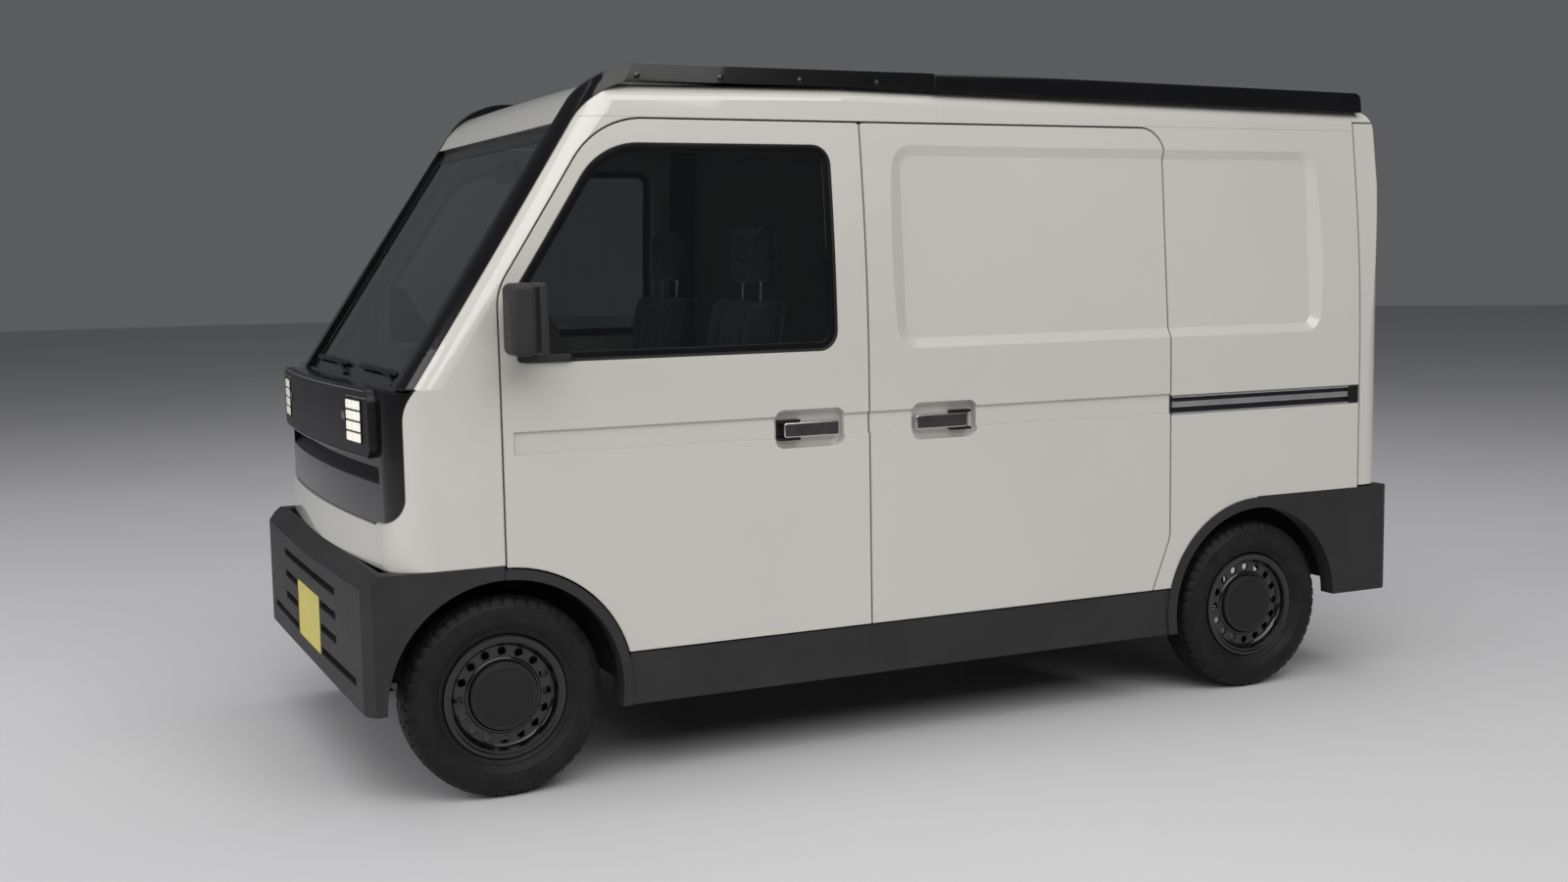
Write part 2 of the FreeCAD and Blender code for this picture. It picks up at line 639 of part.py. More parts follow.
def make_front_panel():
    ahead = block(LOAD_X, LENGTH, -WIDTH, WIDTH, BUMPER_TOP, ROOF_SEAM_Z)
    panel = white.common(ahead).cut(door_cut).cut(both_sides(arch_plugs(0.0))).cut(header_zone(COWL_X))
    keep("front_panel", panel)


def make_roof_panel():
    rear_end = TAILGATE_X + SEAM * HALF
    over_sides = block(rear_end, LENGTH, -WIDTH, WIDTH, ROOF_SEAM_Z, SKY)
    over_rear = block(-LENGTH, rear_end, -WIDTH, WIDTH, dim("roof_over_rear"), SKY)
    zone = over_sides.fuse(over_rear).fuse(header_zone(LENGTH))
    keep("roof_panel", white.common(zone).fuse(roof_lugs()))


def make_quarters():
    region = block(TAILGATE_X + SEAM * HALF, dim("slide_rear_x") + dim("slide_curl") + OVERRUN,
                   HALF_WIDTH * HALF, WIDTH, SILL_TOP, ROOF_SEAM_Z)
    bumper = block(-LENGTH, REAR_AXLE, 0.0, WIDTH, 0.0, BUMPER_TOP)
    slot = skin(dim("rail_slot_depth"), rectangle(
        TAILGATE_X, dim("slide_rear_x"), dim("rail_slot_bottom_z"), dim("rail_slot_top_z")))
    panel = white.common(region).cut(slide_cut).cut(arch_plugs(0.0)).cut(bumper).cut(recess).cut(slot)
    keep("quarter_left", panel)
    keep("quarter_right", mirrored(solids_of(panel)))


def make_slide_doors():
    region = side_prism(inset_outline(slide_outline(), SEAM * HALF))
    panel = shell.common(region).cut(arch_plugs(SEAM)).cut(recess).cut(groove)
    panel = panel.cut(handle_pocket(dim("slide_handle_front_x")))
    keep("slide_door_left", panel)
    keep("slide_door_right", mirrored(solids_of(panel)))


def door_pin(gap):
    """The pivot pin that stands on the front wheel arch and enters the left door's lower edge."""
    low = AXLE_Z + dim("front_opening") + dim("flare_width") * HALF
    return Part.makeCylinder(dim("hinge_pin") + gap, dim("hinge_length") + gap,
                             Vector(dim("hinge_x"), dim("hinge_y"), low))


def door_form():
    """The left front door, without its glass."""
    region = side_prism(inset_outline(door_outline(), SEAM * HALF))
    panel = shell.common(region).cut(arch_plugs(SEAM)).cut(side_prism(window_outline())).cut(groove)
    return panel.cut(handle_pocket(dim("handle_front_x"))).cut(door_pin(FIT))


door_panel = solids_of(door_form())


def make_doors():
    glass = pane(dim("glass_depth"), side_prism(window_outline()))
    keep("door_left", door_panel)
    keep("door_right", mirrored(door_panel))
    keep("door_glass_left", glass)
    keep("door_glass_right", mirrored(solids_of(glass)))


# The tailgate and its hinges

GATE_TOP = dim("roof_over_rear") - SEAM * HALF


def rear_face_x(z):
    """The rear face's place at the van's middle, which leans forward towards the roof."""
    roof = ROOF_FRONT_Z - dim("roof_rear_fall") * HALF
    return REAR_X + dim("rear_top_lean") * (z - dim("sill_bottom")) / (roof - dim("sill_bottom"))


GATE_HINGE_X = rear_face_x(GATE_TOP) - dim("tailgate_hinge_gap")


def rod(radius, y_start, length):
    """A round bar along the tailgate's hinge line."""
    return Part.makeCylinder(radius, length, Vector(GATE_HINGE_X, y_start, GATE_TOP), Vector(0, 1, 0))


def gate_barrel(sign):
    """The tailgate's half of one hinge: a bored barrel with a foot on the outer skin."""
    length = dim("tailgate_barrel_length")
    radius = dim("tailgate_barrel")
    start = dim("tailgate_hinge_y") * sign - length * HALF
    foot = block(GATE_HINGE_X, rear_face_x(GATE_TOP) + WALL * HALF, start, start + length,
                 GATE_TOP - radius * 4.0, GATE_TOP - radius)
    foot = foot.fuse(block(GATE_HINGE_X, GATE_HINGE_X + radius, start, start + length,
                           GATE_TOP - radius * 2.0, GATE_TOP))
    barrel = rod(radius, start, length).fuse(foot)
    return barrel.cut(rod(dim("hinge_pin") + FIT, start, length))


def roof_lugs():
    """The roof's half of the tailgate's hinges: a pin between two lugs on each side."""
    length = dim("tailgate_barrel_length")
    radius = dim("tailgate_barrel")
    pieces = []
    for sign in SIDES.values():
        middle = dim("tailgate_hinge_y") * sign
        reach = length * HALF + FIT
        pieces.append(rod(dim("hinge_pin"), middle - reach - radius, (reach + radius) * 2.0))
        for start in (middle - reach - radius, middle + reach):
            pieces.append(rod(radius, start, radius))
            pieces.append(block(GATE_HINGE_X - radius, rear_face_x(GATE_TOP) + WALL * HALF, start,
                                start + radius, GATE_TOP + SEAM, GATE_TOP + radius * 3.0))
            pieces.append(block(GATE_HINGE_X - radius, GATE_HINGE_X + radius * HALF, start, start + radius,
                                GATE_TOP, GATE_TOP + radius * 2.0))
    return pieces[0].fuse(pieces[1:])


def make_tailgate():
    behind = block(-LENGTH, TAILGATE_X - SEAM * HALF, -WIDTH, WIDTH,
                   dim("tailgate_bottom_z"), dim("roof_over_rear") - SEAM)
    half_glass = PILLAR_Y - WALL
    window = prism("yz", rectangle(-half_glass, half_glass, dim("window_bottom_z"),
                                   dim("window_top_z") - WALL * HALF, dim("window_corner")),
                   -LENGTH, TAILGATE_X)
    gate = shell.common(behind).cut(window)
    for sign in SIDES.values():
        gate = gate.fuse(gate_barrel(sign))
    keep("tailgate", gate)
    keep("tailgate_glass", pane(dim("glass_depth"), window).common(behind))


# The black frame: pillars with roof rails, nose mask and lamp panel

def rail_form():
    """What the pillars and the roof rails fill, before the inside is taken out."""
    rail_top = dim("rail_top_z")
    proud = dim("frame_proud")
    side = [
        (dim("rail_end_x"), dim("frame_rear_z"), 0.0),
        (screen_x(COWL_Z, proud), dim("frame_rear_z") - LENGTH, 0.0),
        (screen_x(COWL_Z, proud), COWL_Z, 0.0),
        (screen_x(rail_top, proud), rail_top, dim("rail_radius")),
        (dim("rail_flat_x"), rail_top, 0.0),
        (dim("rail_end_x"), rail_top - dim("rail_rear_fall"), dim("rail_corner")),
    ]
    rise = rail_top - dim("roof_side_z")
    section_share = dim("rail_corner") / dim("roof_corner")
    tight = [(across, up, radius * section_share if up > dim("side_bend_z") else radius)
             for across, up, radius in end_outline(rise)]
    section = prism("yz", inset_outline(tight, -proud), -LENGTH, LENGTH)
    plan = prism("xy", inset_outline(plan_outline(), -proud), 0.0, SKY)
    return within(prism("xz", side, PILLAR_Y, WIDTH), section, plan).cut(pillar_corners(proud))


def rack_hole(x):
    """One blind bolt hole in the flat top of the left roof rail."""
    low = dim("rail_top_z") - dim("rack_hole_depth")
    return Part.makeCylinder(dim("rack_hole_radius"), SKY - low, Vector(x, dim("rack_y"), low))


def make_arches():
    upper = block(-LENGTH, LENGTH, PILLAR_Y, WIDTH, COWL_Z, SKY)
    rail = rail_form()
    arch = rail.common(side_prism(frame_outline(), PILLAR_Y)).common(upper).cut(inner_form)
    end_foot = rail.common(block(dim("rail_end_x"), dim("frame_rear_x"), PILLAR_Y, WIDTH,
                                 dim("frame_rear_z"), SKY)).cut(outer_form)
    arch = arch.fuse(end_foot)
    for share in (-HALF, HALF):
        arch = arch.cut(rack_hole(dim("rack_x") + dim("rack_spacing") * share))
    keep("arch_left", arch)
    keep("arch_right", mirrored(solids_of(arch)))


def nose_band(low, high, half_width, radius, x_low):
    corners = rectangle(-half_width, half_width, low, high, radius)
    return prism("yz", corners, x_low, LENGTH)


def make_mask():
    recess_depth = dim("mask_recess")
    side_part = both_sides(side_prism(frame_outline(), PILLAR_Y))
    zone = block(COWL_X - WALL, LENGTH, -WIDTH, WIDTH, dim("frame_bottom_z"), COWL_Z)
    middle = block(COWL_X - WALL, LENGTH, -PILLAR_Y, PILLAR_Y, dim("frame_bottom_z"), COWL_Z)
    grille = nose_band(dim("grille_bottom_z"), dim("lamp_bottom_z"), dim("lamp_half_width"), 0.0,
                       COWL_X - WALL)
    grille = grille.cut(envelope(recess_depth + dim("grille_depth")))
    layer = envelope(recess_depth).cut(envelope(recess_depth + dim("mask_depth")))
    keep("nose_mask", layer.common(side_part.fuse(middle)).common(zone).cut(grille))


def plan_slab(proud_out, proud_in):
    """A curved layer ahead of the nose, between two distances from it."""
    plan_out = prism("xy", inset_outline(plan_outline(), -proud_out), 0.0, SKY)
    plan_in = prism("xy", inset_outline(plan_outline(), -proud_in), 0.0, SKY)
    return plan_out.cut(plan_in).common(block(COWL_X, LENGTH, -WIDTH, WIDTH, 0.0, COWL_Z))


def lens_rows(proud):
    """Twelve square lenses on the left: three across and four up."""
    columns, rows = 3, 4
    width = dim("lens_width")
    low = dim("lens_low_z")
    height = dim("lens_high_z") - low
    gap = dim("lens_gap")
    lenses = []
    for column in range(columns):
        for line in range(rows):
            y = dim("lens_y") - width * HALF + width * column / columns
            z = low + height * line / rows
            lenses.append(block(COWL_X, LENGTH, y, y + width / columns - gap, z, z + height / rows - gap))
    return plan_slab(proud, proud - dim("lens_proud")).common(Part.makeCompound(lenses))


def make_lamps():
    proud = dim("lamp_proud")
    zone = nose_band(dim("lamp_bottom_z"), COWL_Z, dim("lamp_half_width"), dim("lamp_corner"), COWL_X)
    keep("lamp_panel", plan_slab(proud, -dim("mask_recess")).common(zone))
    keep("headlamps", both_sides(lens_rows(proud + dim("lens_proud"))))


def make_windscreen():
    zone = block(LOAD_X, COWL_X, -PILLAR_Y, PILLAR_Y, COWL_Z, dim("screen_top_z"))
    keep("windshield", pane(dim("screen_depth"), zone))


# Bumpers and cladding

def bumper_plan(depth):
    """The front bumper seen from above: a gentle bow with two short slanted corners."""
    bow_y = dim("bumper_side_y")
    rise = dim("bumper_bow")
    corner_y = bow_y - depth * HALF
    side_place = HALF_WIDTH - depth
    side_x = dim("bumper_side_x") - depth
    return [
        (0.0, -side_place, 0.0),
        (dim("bumper_corner_x") - depth, -side_place, 0.0),
        (side_x, -corner_y, 0.0),
        (side_x + rise * (1.0 + HALF), 0.0, bow_y * bow_y / (rise * 2.0) * BOW_SHARE),
        (side_x, corner_y, 0.0),
        (dim("bumper_corner_x") - depth, side_place, 0.0),
        (0.0, side_place, 0.0),
    ]


def plate_space(sign):
    """The shallow seat of a number plate on the front or rear bumper, which the plate fills."""
    half = dim("plate_width") * HALF
    low = dim("plate_low_z")
    start, end = sorted(((HALF_LENGTH - dim("plate_thickness")) * sign, HALF_LENGTH * sign))
    return block(start, end, -half, half, low, low + dim("plate_height"))


def bumper_slots():
    """Four rows of air slots: a short one under the plate's level, two beside the plate and one over it."""
    height = dim("slot_height")
    plate_top = dim("plate_low_z") + dim("plate_height")
    slots = []
    for row in range(4):
        low = dim("slot_low_z") + dim("slot_pitch") * row
        inner = dim("slot_inner_y") if low < plate_top else 0.0
        outer = dim("slot_low_outer_y") if row == 0 else dim("slot_outer_y")
        slots.append(block(HALF_LENGTH - dim("slot_depth"), LENGTH, inner, outer, low, low + height))
    return both_sides(Part.makeCompound(slots))


def make_front_bumper():
    bottom = dim("front_bumper_bottom")
    edge = dim("bumper_edge")
    side = [
        (0.0, bottom, 0.0), (HALF_LENGTH, bottom, edge), (HALF_LENGTH, dim("shelf_z"), edge * HALF),
        (NOSE_X, BUMPER_TOP, 0.0), (0.0, BUMPER_TOP, 0.0),
    ]
    form = prism("xz", side, -WIDTH, WIDTH).common(prism("xy", bumper_plan(0.0), 0.0, SKY))
    hollow = prism("xy", bumper_plan(dim("bumper_depth")), 0.0, BUMPER_TOP)
    behind = block(-LENGTH, FRONT_AXLE, -WIDTH, WIDTH, 0.0, SKY)
    opening = disc(dim("front_opening"), FRONT_AXLE, AXLE_Z, -WIDTH, WIDTH)
    bumper = form.cut(hollow).cut(behind).cut(opening)
    keep("front_bumper", bumper.cut(bumper_slots()).cut(plate_space(1.0)))


def make_rear_bumper():
    bottom = dim("rear_bumper_bottom")
    edge = dim("bumper_edge")
    side = [
        (-HALF_LENGTH, bottom, edge), (REAR_AXLE, bottom, 0.0), (REAR_AXLE, BUMPER_TOP, 0.0),
        (-HALF_LENGTH, BUMPER_TOP, edge),
    ]
    plan = rectangle(-HALF_LENGTH, 0.0, -HALF_WIDTH, HALF_WIDTH, dim("rear_bumper_corner"))
    form = prism("xz", side, -WIDTH, WIDTH).common(prism("xy", plan, 0.0, SKY))
    hollow = prism("xy", inset_outline(plan, dim("bumper_depth")), 0.0, BUMPER_TOP)
    opening = disc(dim("rear_opening"), REAR_AXLE, AXLE_Z, -WIDTH, WIDTH)
    keep("rear_bumper", form.cut(hollow).cut(opening).cut(plate_space(-1.0)))


def flare(radius, opening, axle_x, x_low, x_high):
    """One wheel arch's flare, above the sill's lower edge."""
    ring = disc(radius, axle_x, AXLE_Z, DOOR_INNER_Y, HALF_WIDTH + dim("flare_proud"))
    ring = ring.cut(disc(opening, axle_x, AXLE_Z, 0.0, WIDTH))
    return ring.common(block(x_low, x_high, 0.0, WIDTH, dim("sill_bottom"), SKY))


def make_sills():
    """Each side's sill with the two wheel-arch flares that rise from it."""
    front = flare(FRONT_FLARE, dim("front_opening"), FRONT_AXLE, 0.0, FRONT_AXLE)
    rear = flare(REAR_FLARE, dim("rear_opening"), REAR_AXLE, REAR_AXLE, 0.0)
    front_x = dim("sill_front_x") - FIT
    sill = block(dim("sill_rear_x"), front_x, dim("sill_inner_y"), HALF_WIDTH - dim("sill_gap"),
                 dim("sill_bottom"), SILL_TOP - SEAM)
    step = block(dim("sill_rear_x"), front_x, dim("sill_inner_y"), dim("cabin_half_width"),
                 SILL_TOP - SEAM, dim("cabin_floor_z") - dim("floor_thickness"))
    tyres = disc(dim("front_opening"), FRONT_AXLE, AXLE_Z, 0.0, WIDTH)
    tyres = tyres.fuse(disc(dim("rear_opening"), REAR_AXLE, AXLE_Z, 0.0, WIDTH))
    keep("sills", both_sides(sill.fuse(step).fuse(front).fuse(rear).cut(tyres).fuse(door_pin(0.0))))


def hoop_space(gap):
    """Where the roof hoop's two feet pass the load floor."""
    inner = DOOR_INNER_Y - dim("cabin_clearance") - dim("hoop_depth") - gap
    return both_sides(block(dim("hoop_rear_x") - gap, dim("hoop_front_x") + gap, inner, WIDTH,
                            dim("cabin_floor_z"), SKY))


def make_floor():
    """The cabin floor, the step up to the load floor, the fire wall and the front wheel housings."""
    thick = dim("floor_thickness")
    cabin_z = dim("cabin_floor_z")
    load_z = dim("load_floor_z")
    half = dim("cabin_half_width")
    wall_x = dim("fire_wall_x")
    rear_x = TAILGATE_X + SEAM
    cabin = block(LOAD_X, wall_x, -half, half, cabin_z - thick, cabin_z)
    load = block(rear_x, LOAD_X, -half, half, load_z - thick, load_z)
    riser = block(LOAD_X, LOAD_X + thick, -half, half, cabin_z - thick, load_z)
    wall_top = COWL_Z - WALL
    fire_wall = block(wall_x - thick, wall_x, -half, half, cabin_z - thick, wall_top)
    liner_low = dim("liner_inner_y")
    liner = disc(dim("liner_radius") + thick, FRONT_AXLE, AXLE_Z, liner_low - thick, half)
    hollow = disc(dim("liner_radius"), FRONT_AXLE, AXLE_Z, liner_low, WIDTH)
    liner = liner.common(block(0.0, wall_x, 0.0, WIDTH, AXLE_Z, SKY))
    pan = cabin.fuse(load).fuse(riser).fuse(fire_wall).fuse(both_sides(liner)).cut(both_sides(hollow))
    apron = block(wall_x - thick, wall_x, -liner_low, liner_low, dim("front_bumper_bottom"), cabin_z)
    pan = within(pan.fuse(apron), plain_form(WALL + dim("cabin_clearance")))
    edge = DOOR_INNER_Y - FIT
    beside = block(REAR_AXLE, dim("door_rear_x") - SEAM, -edge, edge, load_z - thick, load_z)
    keep("floor_pan", pan.fuse(beside).cut(hoop_space(FIT)))


def make_hoop():
    """The roof hoop behind the front doors, which passes the load floor on each side."""
    outer = envelope(WALL + dim("cabin_clearance"))
    inner = envelope(WALL + dim("cabin_clearance") + dim("hoop_depth"))
    x_low = dim("hoop_rear_x")
    x_high = dim("hoop_front_x")
    foot_z = dim("load_floor_z") - dim("floor_thickness")
    hoop = outer.cut(inner).common(block(x_low, x_high, -WIDTH, WIDTH, foot_z, SKY))
    roof_pad = inner_form.cut(outer).common(block(x_low, x_high, -WALL, WALL, COWL_Z, SKY))
    keep("roof_hoop", hoop.fuse(roof_pad))


# Plain pieces, bound to the sheet

def bound_box(name, low, high):
    """A box from its low corner to its high corner, each a triple of Sizes."""
    piece = doc.addObject("Part::Box", name)
    for axis, prop, start, end in zip("xyz", ("Length", "Width", "Height"), low, high):
        piece.setExpression(prop, (end - start).text)
        piece.setExpression("Placement.Base." + axis, start.text)
    return piece


def bound_cylinder(name, radius, height, base, turn=None):
    """A cylinder from its base up, or along a turned axis."""
    piece = doc.addObject("Part::Cylinder", name)
    piece.setExpression("Radius", radius.text)
    piece.setExpression("Height", height.text)
    if turn is not None:
        piece.Placement = FreeCAD.Placement(Vector(0, 0, 0), turn)
    for axis, length in zip("xyz", base):
        piece.setExpression("Placement.Base." + axis, length.text)
    return piece


def join(name, pieces):
    """Several objects of the document as one."""
    fused = doc.addObject("Part::MultiFuse", name)
    fused.Shapes = pieces
    fused.Refine = True
    return fused


def settle(name, piece):
    """A finished parametric sub-part under its own label."""
    piece.Label = name
    finished.append(piece)
    return piece


def origin_feature(body, role):
    return [feature for feature in body.Origin.OriginFeatures if feature.Role == role][0]


def new_sketch(body, plane, name):
    """A sketch on one of a body's own origin planes."""
    sketch = body.newObject("Sketcher::SketchObject", name)
    sketch.AttachmentSupport = (origin_feature(body, plane), [""])
    sketch.MapMode = "FlatFace"
    return sketch


def hold(sketch, constraint, length):
    """Add a constraint whose value is bound to a Size."""
    number = sketch.addConstraint(constraint)
    sketch.setExpression("Constraints[%d]" % number, length.text)


def polygon_sketch(body, plane, points, name):
    """A closed sketch whose corners are each held by two bound distances."""
    sketch = new_sketch(body, plane, name)
    count = len(points)
    for index, (across, up) in enumerate(points):
        ahead = points[(index + 1) % count]
        start = Vector(across.value, up.value, 0)
        sketch.addGeometry(Part.LineSegment(start, Vector(ahead[0].value, ahead[1].value, 0)), False)
    for index in range(count):
        sketch.addConstraint(Sketcher.Constraint("Coincident", index, 2, (index + 1) % count, 1))
    for index, (across, up) in enumerate(points):
        for kind, length in (("DistanceX", across), ("DistanceY", up)):
            if length is ZERO:
                on_axis = -2 if kind == "DistanceX" else -1
                sketch.addConstraint(Sketcher.Constraint("PointOnObject", index, 1, on_axis))
                continue
            hold(sketch, Sketcher.Constraint(kind, -1, 1, index, 1, length.value), length)
    return sketch


def turned_body(name, points):
    """A body turned about its Y axis from corners given as radius and place along the axis."""
    body = doc.addObject("PartDesign::Body", name)
    sketch = polygon_sketch(body, "XY_Plane", points, name + "_profile")
    turn = body.newObject("PartDesign::Revolution", name + "_turn")
    turn.Profile = sketch
    turn.ReferenceAxis = (sketch, ["V_Axis"])
    turn.Angle = 360.0
    body.Tip = turn
    return body


def padded_body(name, points, width):
    """A body drawn from the side and padded evenly to both sides of the XZ plane."""
    body = doc.addObject("PartDesign::Body", name)
    sketch = polygon_sketch(body, "XZ_Plane", points, name + "_profile")
    pad = body.newObject("PartDesign::Pad", name + "_pad")
    pad.Profile = sketch
    pad.Midplane = True
    pad.setExpression("Length", width.text)
    body.Tip = pad
    return body


def place(body, x, y, z, flip=False):
    """Bind a body's place to the sheet. A flipped body is turned half round, to face the other side."""
    if flip:
        body.Placement = FreeCAD.Placement(Vector(0, 0, 0), FreeCAD.Rotation(Vector(0, 0, 1), 180.0))
    for axis, length in zip("xyz", (x, y, z)):
        body.setExpression("Placement.Base." + axis, length.text)


def wheel_corners():
    """The rim's section, with its disc, hub and closed cap."""
    half = size("rim_width") * HALF
    barrel = size("rim_radius")
    thin = size("disc_thickness")
    inside = barrel - thin
    flange = barrel + size("rim_flange")
    face = size("disc_offset")
    bore = size("spindle_radius") + size("fit")
    cap_face = face + thin + size("cap_proud")
    back = face - size("hub_depth")
    return [
        (bore, back), (size("hub_radius"), back), (size("hub_radius"), face), (inside, face), (inside, -half),
        (flange, -half), (flange, thin - half), (barrel, thin - half), (barrel, half - thin),
        (flange, half - thin), (flange, half), (inside, half), (inside, face + thin),
        (size("cap_radius"), face + thin), (size("cap_radius"), cap_face), (ZERO, cap_face),
        (ZERO, cap_face - thin), (bore, cap_face - thin),
    ]


# The tyre's side, as shares of its shoulder: outward from the rim's flange, then inward from the tread,
# each with how far it lies inside the full width
SIDEWALL_SHARES = ((0.25, 0.4), (1.2, 0.05), (2.0, 0.0))
SHOULDER_SHARES = ((1.5, 0.15), (0.75, 0.4), (0.25, 0.8), (0.0, 1.4))


def tyre_corners():
    """The tyre's section: beads between the rim's flanges, crowned tread and rounded shoulders."""
    bead = size("rim_radius") + size("fit")
    bead_y = size("rim_width") * HALF - size("disc_thickness") - size("fit")
    over = size("rim_radius") + size("rim_flange") + size("fit")
    outer = size("tyre_radius")
    half = size("tyre_width") * HALF
    shoulder = size("tyre_shoulder")
    side = [(bead, bead_y), (over, bead_y)]
    side += [(over + shoulder * rise, half - shoulder * inset) for rise, inset in SIDEWALL_SHARES]
    side += [(outer - shoulder * drop, half - shoulder * inset) for drop, inset in SHOULDER_SHARES]
    return [(radius, -along) for radius, along in side] + side[::-1]


def drill_ring(rim, tag):
    """The ring of round holes through a rim's disc."""
    sketch = new_sketch(rim, "XZ_Plane", "holes_" + tag)
    circle = Part.Circle(Vector(dim("hole_circle"), 0, 0), Vector(0, 0, 1), dim("hole_radius"))
    sketch.addGeometry(circle, False)
    sketch.addConstraint(Sketcher.Constraint("PointOnObject", 0, 3, -1))
    hold(sketch, Sketcher.Constraint("DistanceX", -1, 1, 0, 3, dim("hole_circle")), size("hole_circle"))
    hold(sketch, Sketcher.Constraint("Radius", 0, dim("hole_radius")), size("hole_radius"))
    pocket = rim.newObject("PartDesign::Pocket", "hole_" + tag)
    pocket.Profile = sketch
    pocket.Midplane = True
    pocket.setExpression("Length", size("rim_width").text)
    ring = rim.newObject("PartDesign::PolarPattern", "ring_" + tag)
    ring.Originals = [pocket]
    ring.Axis = (origin_feature(rim, "Y_Axis"), [""])
    ring.Angle = 360.0
    ring.Occurrences = int(dim("hole_count"))
    rim.Tip = ring


def make_wheels():
    for end, axle in (("front", "front_axle_x"), ("rear", "rear_axle_x")):
        for hand, sign in SIDES.items():
            tag = "%s_%s" % (end, hand)
            rim = turned_body("rim_" + tag, wheel_corners())
            doc.recompute()
            drill_ring(rim, tag)
            tyre = turned_body("tyre_" + tag, tyre_corners())
            for body in (rim, tyre):
                place(body, size(axle), size("track_half") * sign, size("tyre_radius"), sign < 0.0)
            settle("rim_" + tag, rim)
            settle("tyre_" + tag, tyre)


def make_battery():
    high = size("load_floor_z") - size("floor_thickness")
    low_floor = size("cabin_floor_z") - size("floor_thickness")
    half = size("battery_half_width")
    pack = bound_box("battery_flat", (size("battery_rear_x"), -half, size("battery_low_z")),
                     (size("battery_front_x"), half, low_floor))
    settle("battery_pack", pack)
    shelf = bound_box("inverter_box", (size("battery_rear_x"), -half, low_floor),
                      (size("load_front_x") - size("wall"), half, high))
    settle("power_unit", shelf)


def make_rear_axle():
    """The rear axle with its spindles, and two brackets up to the load floor."""
    across = FreeCAD.Rotation(Vector(1, 0, 0), 90.0)
    axle = size("rear_axle_x")
    level = size("tyre_radius")
    reach = size("track_half") + size("disc_offset") - size("hub_depth") - size("fit")
    tip = size("track_half") + size("disc_offset")
    tube = bound_cylinder("rear_axle_tube", size("axle_radius"), reach * 2.0, (axle, reach, level), across)
    spindle = bound_cylinder("rear_spindle", size("spindle_radius"), tip * 2.0, (axle, tip, level), across)
    pieces = [tube, spindle]
    half = size("axle_radius")
    for hand, sign in SIDES.items():
        middle = size("battery_half_width") * sign
        pieces.append(bound_box("axle_bracket_" + hand, (axle - half, middle - half, level),
                                (axle + half, middle + half, size("load_floor_z") - size("floor_thickness"))))
    settle("rear_axle", join("rear_axle_group", pieces))


def make_drive_unit():
    """The front motor on its subframe, with two arms that carry the kingpins."""
    arm_half = size("arm_half_width")
    arm_top = size("tyre_radius") - size("hub_radius") - size("fit")
    axle = size("front_axle_x")
    arm_end = size("kingpin_y") + size("axle_radius")
    length = size("subframe_half_length")
    width = size("subframe_half_width")
    pieces = [
        bound_box("front_arms", (axle - arm_half, -arm_end, arm_top - size("arm_thickness")),
                  (axle + arm_half, arm_end, arm_top)),
        bound_box("motor_base", (axle - length, -width, arm_top),
                  (axle + length, width, size("motor_low_z"))),
        bound_box("motor_link", (axle - length, -width, size("motor_low_z")),
                  (axle + length, width, size("cabin_floor_z") - size("floor_thickness"))),
    ]
    for hand, sign in SIDES.items():
        pieces.append(bound_cylinder("kingpin_" + hand, size("kingpin_radius"), size("kingpin_height"),
                                     (axle, size("kingpin_y") * sign, arm_top)))
    settle("drive_unit", join("drive_unit_group", pieces))


def make_knuckles():
    """The front hub carriers, each bored for its kingpin."""
    inner = dim("kingpin_y") - dim("axle_radius")
    end = dim("track_half") + dim("disc_offset")
    seat_y = end - dim("hub_depth") - FIT
    low = AXLE_Z - dim("hub_radius")
    drum = disc(dim("hub_radius"), FRONT_AXLE, AXLE_Z, inner, seat_y)
    spindle = disc(dim("spindle_radius"), FRONT_AXLE, AXLE_Z, inner, end)
    bore = Part.makeCylinder(dim("kingpin_radius") + FIT, dim("kingpin_height") + FIT + SEAM,
                             Vector(FRONT_AXLE, dim("kingpin_y"), low - SEAM))
    knuckle = drum.fuse(spindle).cut(bore)
    keep("knuckle_left", knuckle)
    keep("knuckle_right", mirrored(knuckle))


# The cabin

def make_seat_bases():
    inset = size("wall")
    boxes = []
    for hand, sign in SIDES.items():
        near, far = ("seat_inner_y", "seat_outer_y") if sign > 0.0 else ("seat_outer_y", "seat_inner_y")
        boxes.append(bound_box("seat_base_" + hand,
                               (size("seat_rear_x") + inset, size(near) * sign, size("cabin_floor_z")),
                               (size("seat_front_x") - inset, size(far) * sign, size("seat_base_z"))))
    settle("seat_bases", join("seat_base_group", boxes))


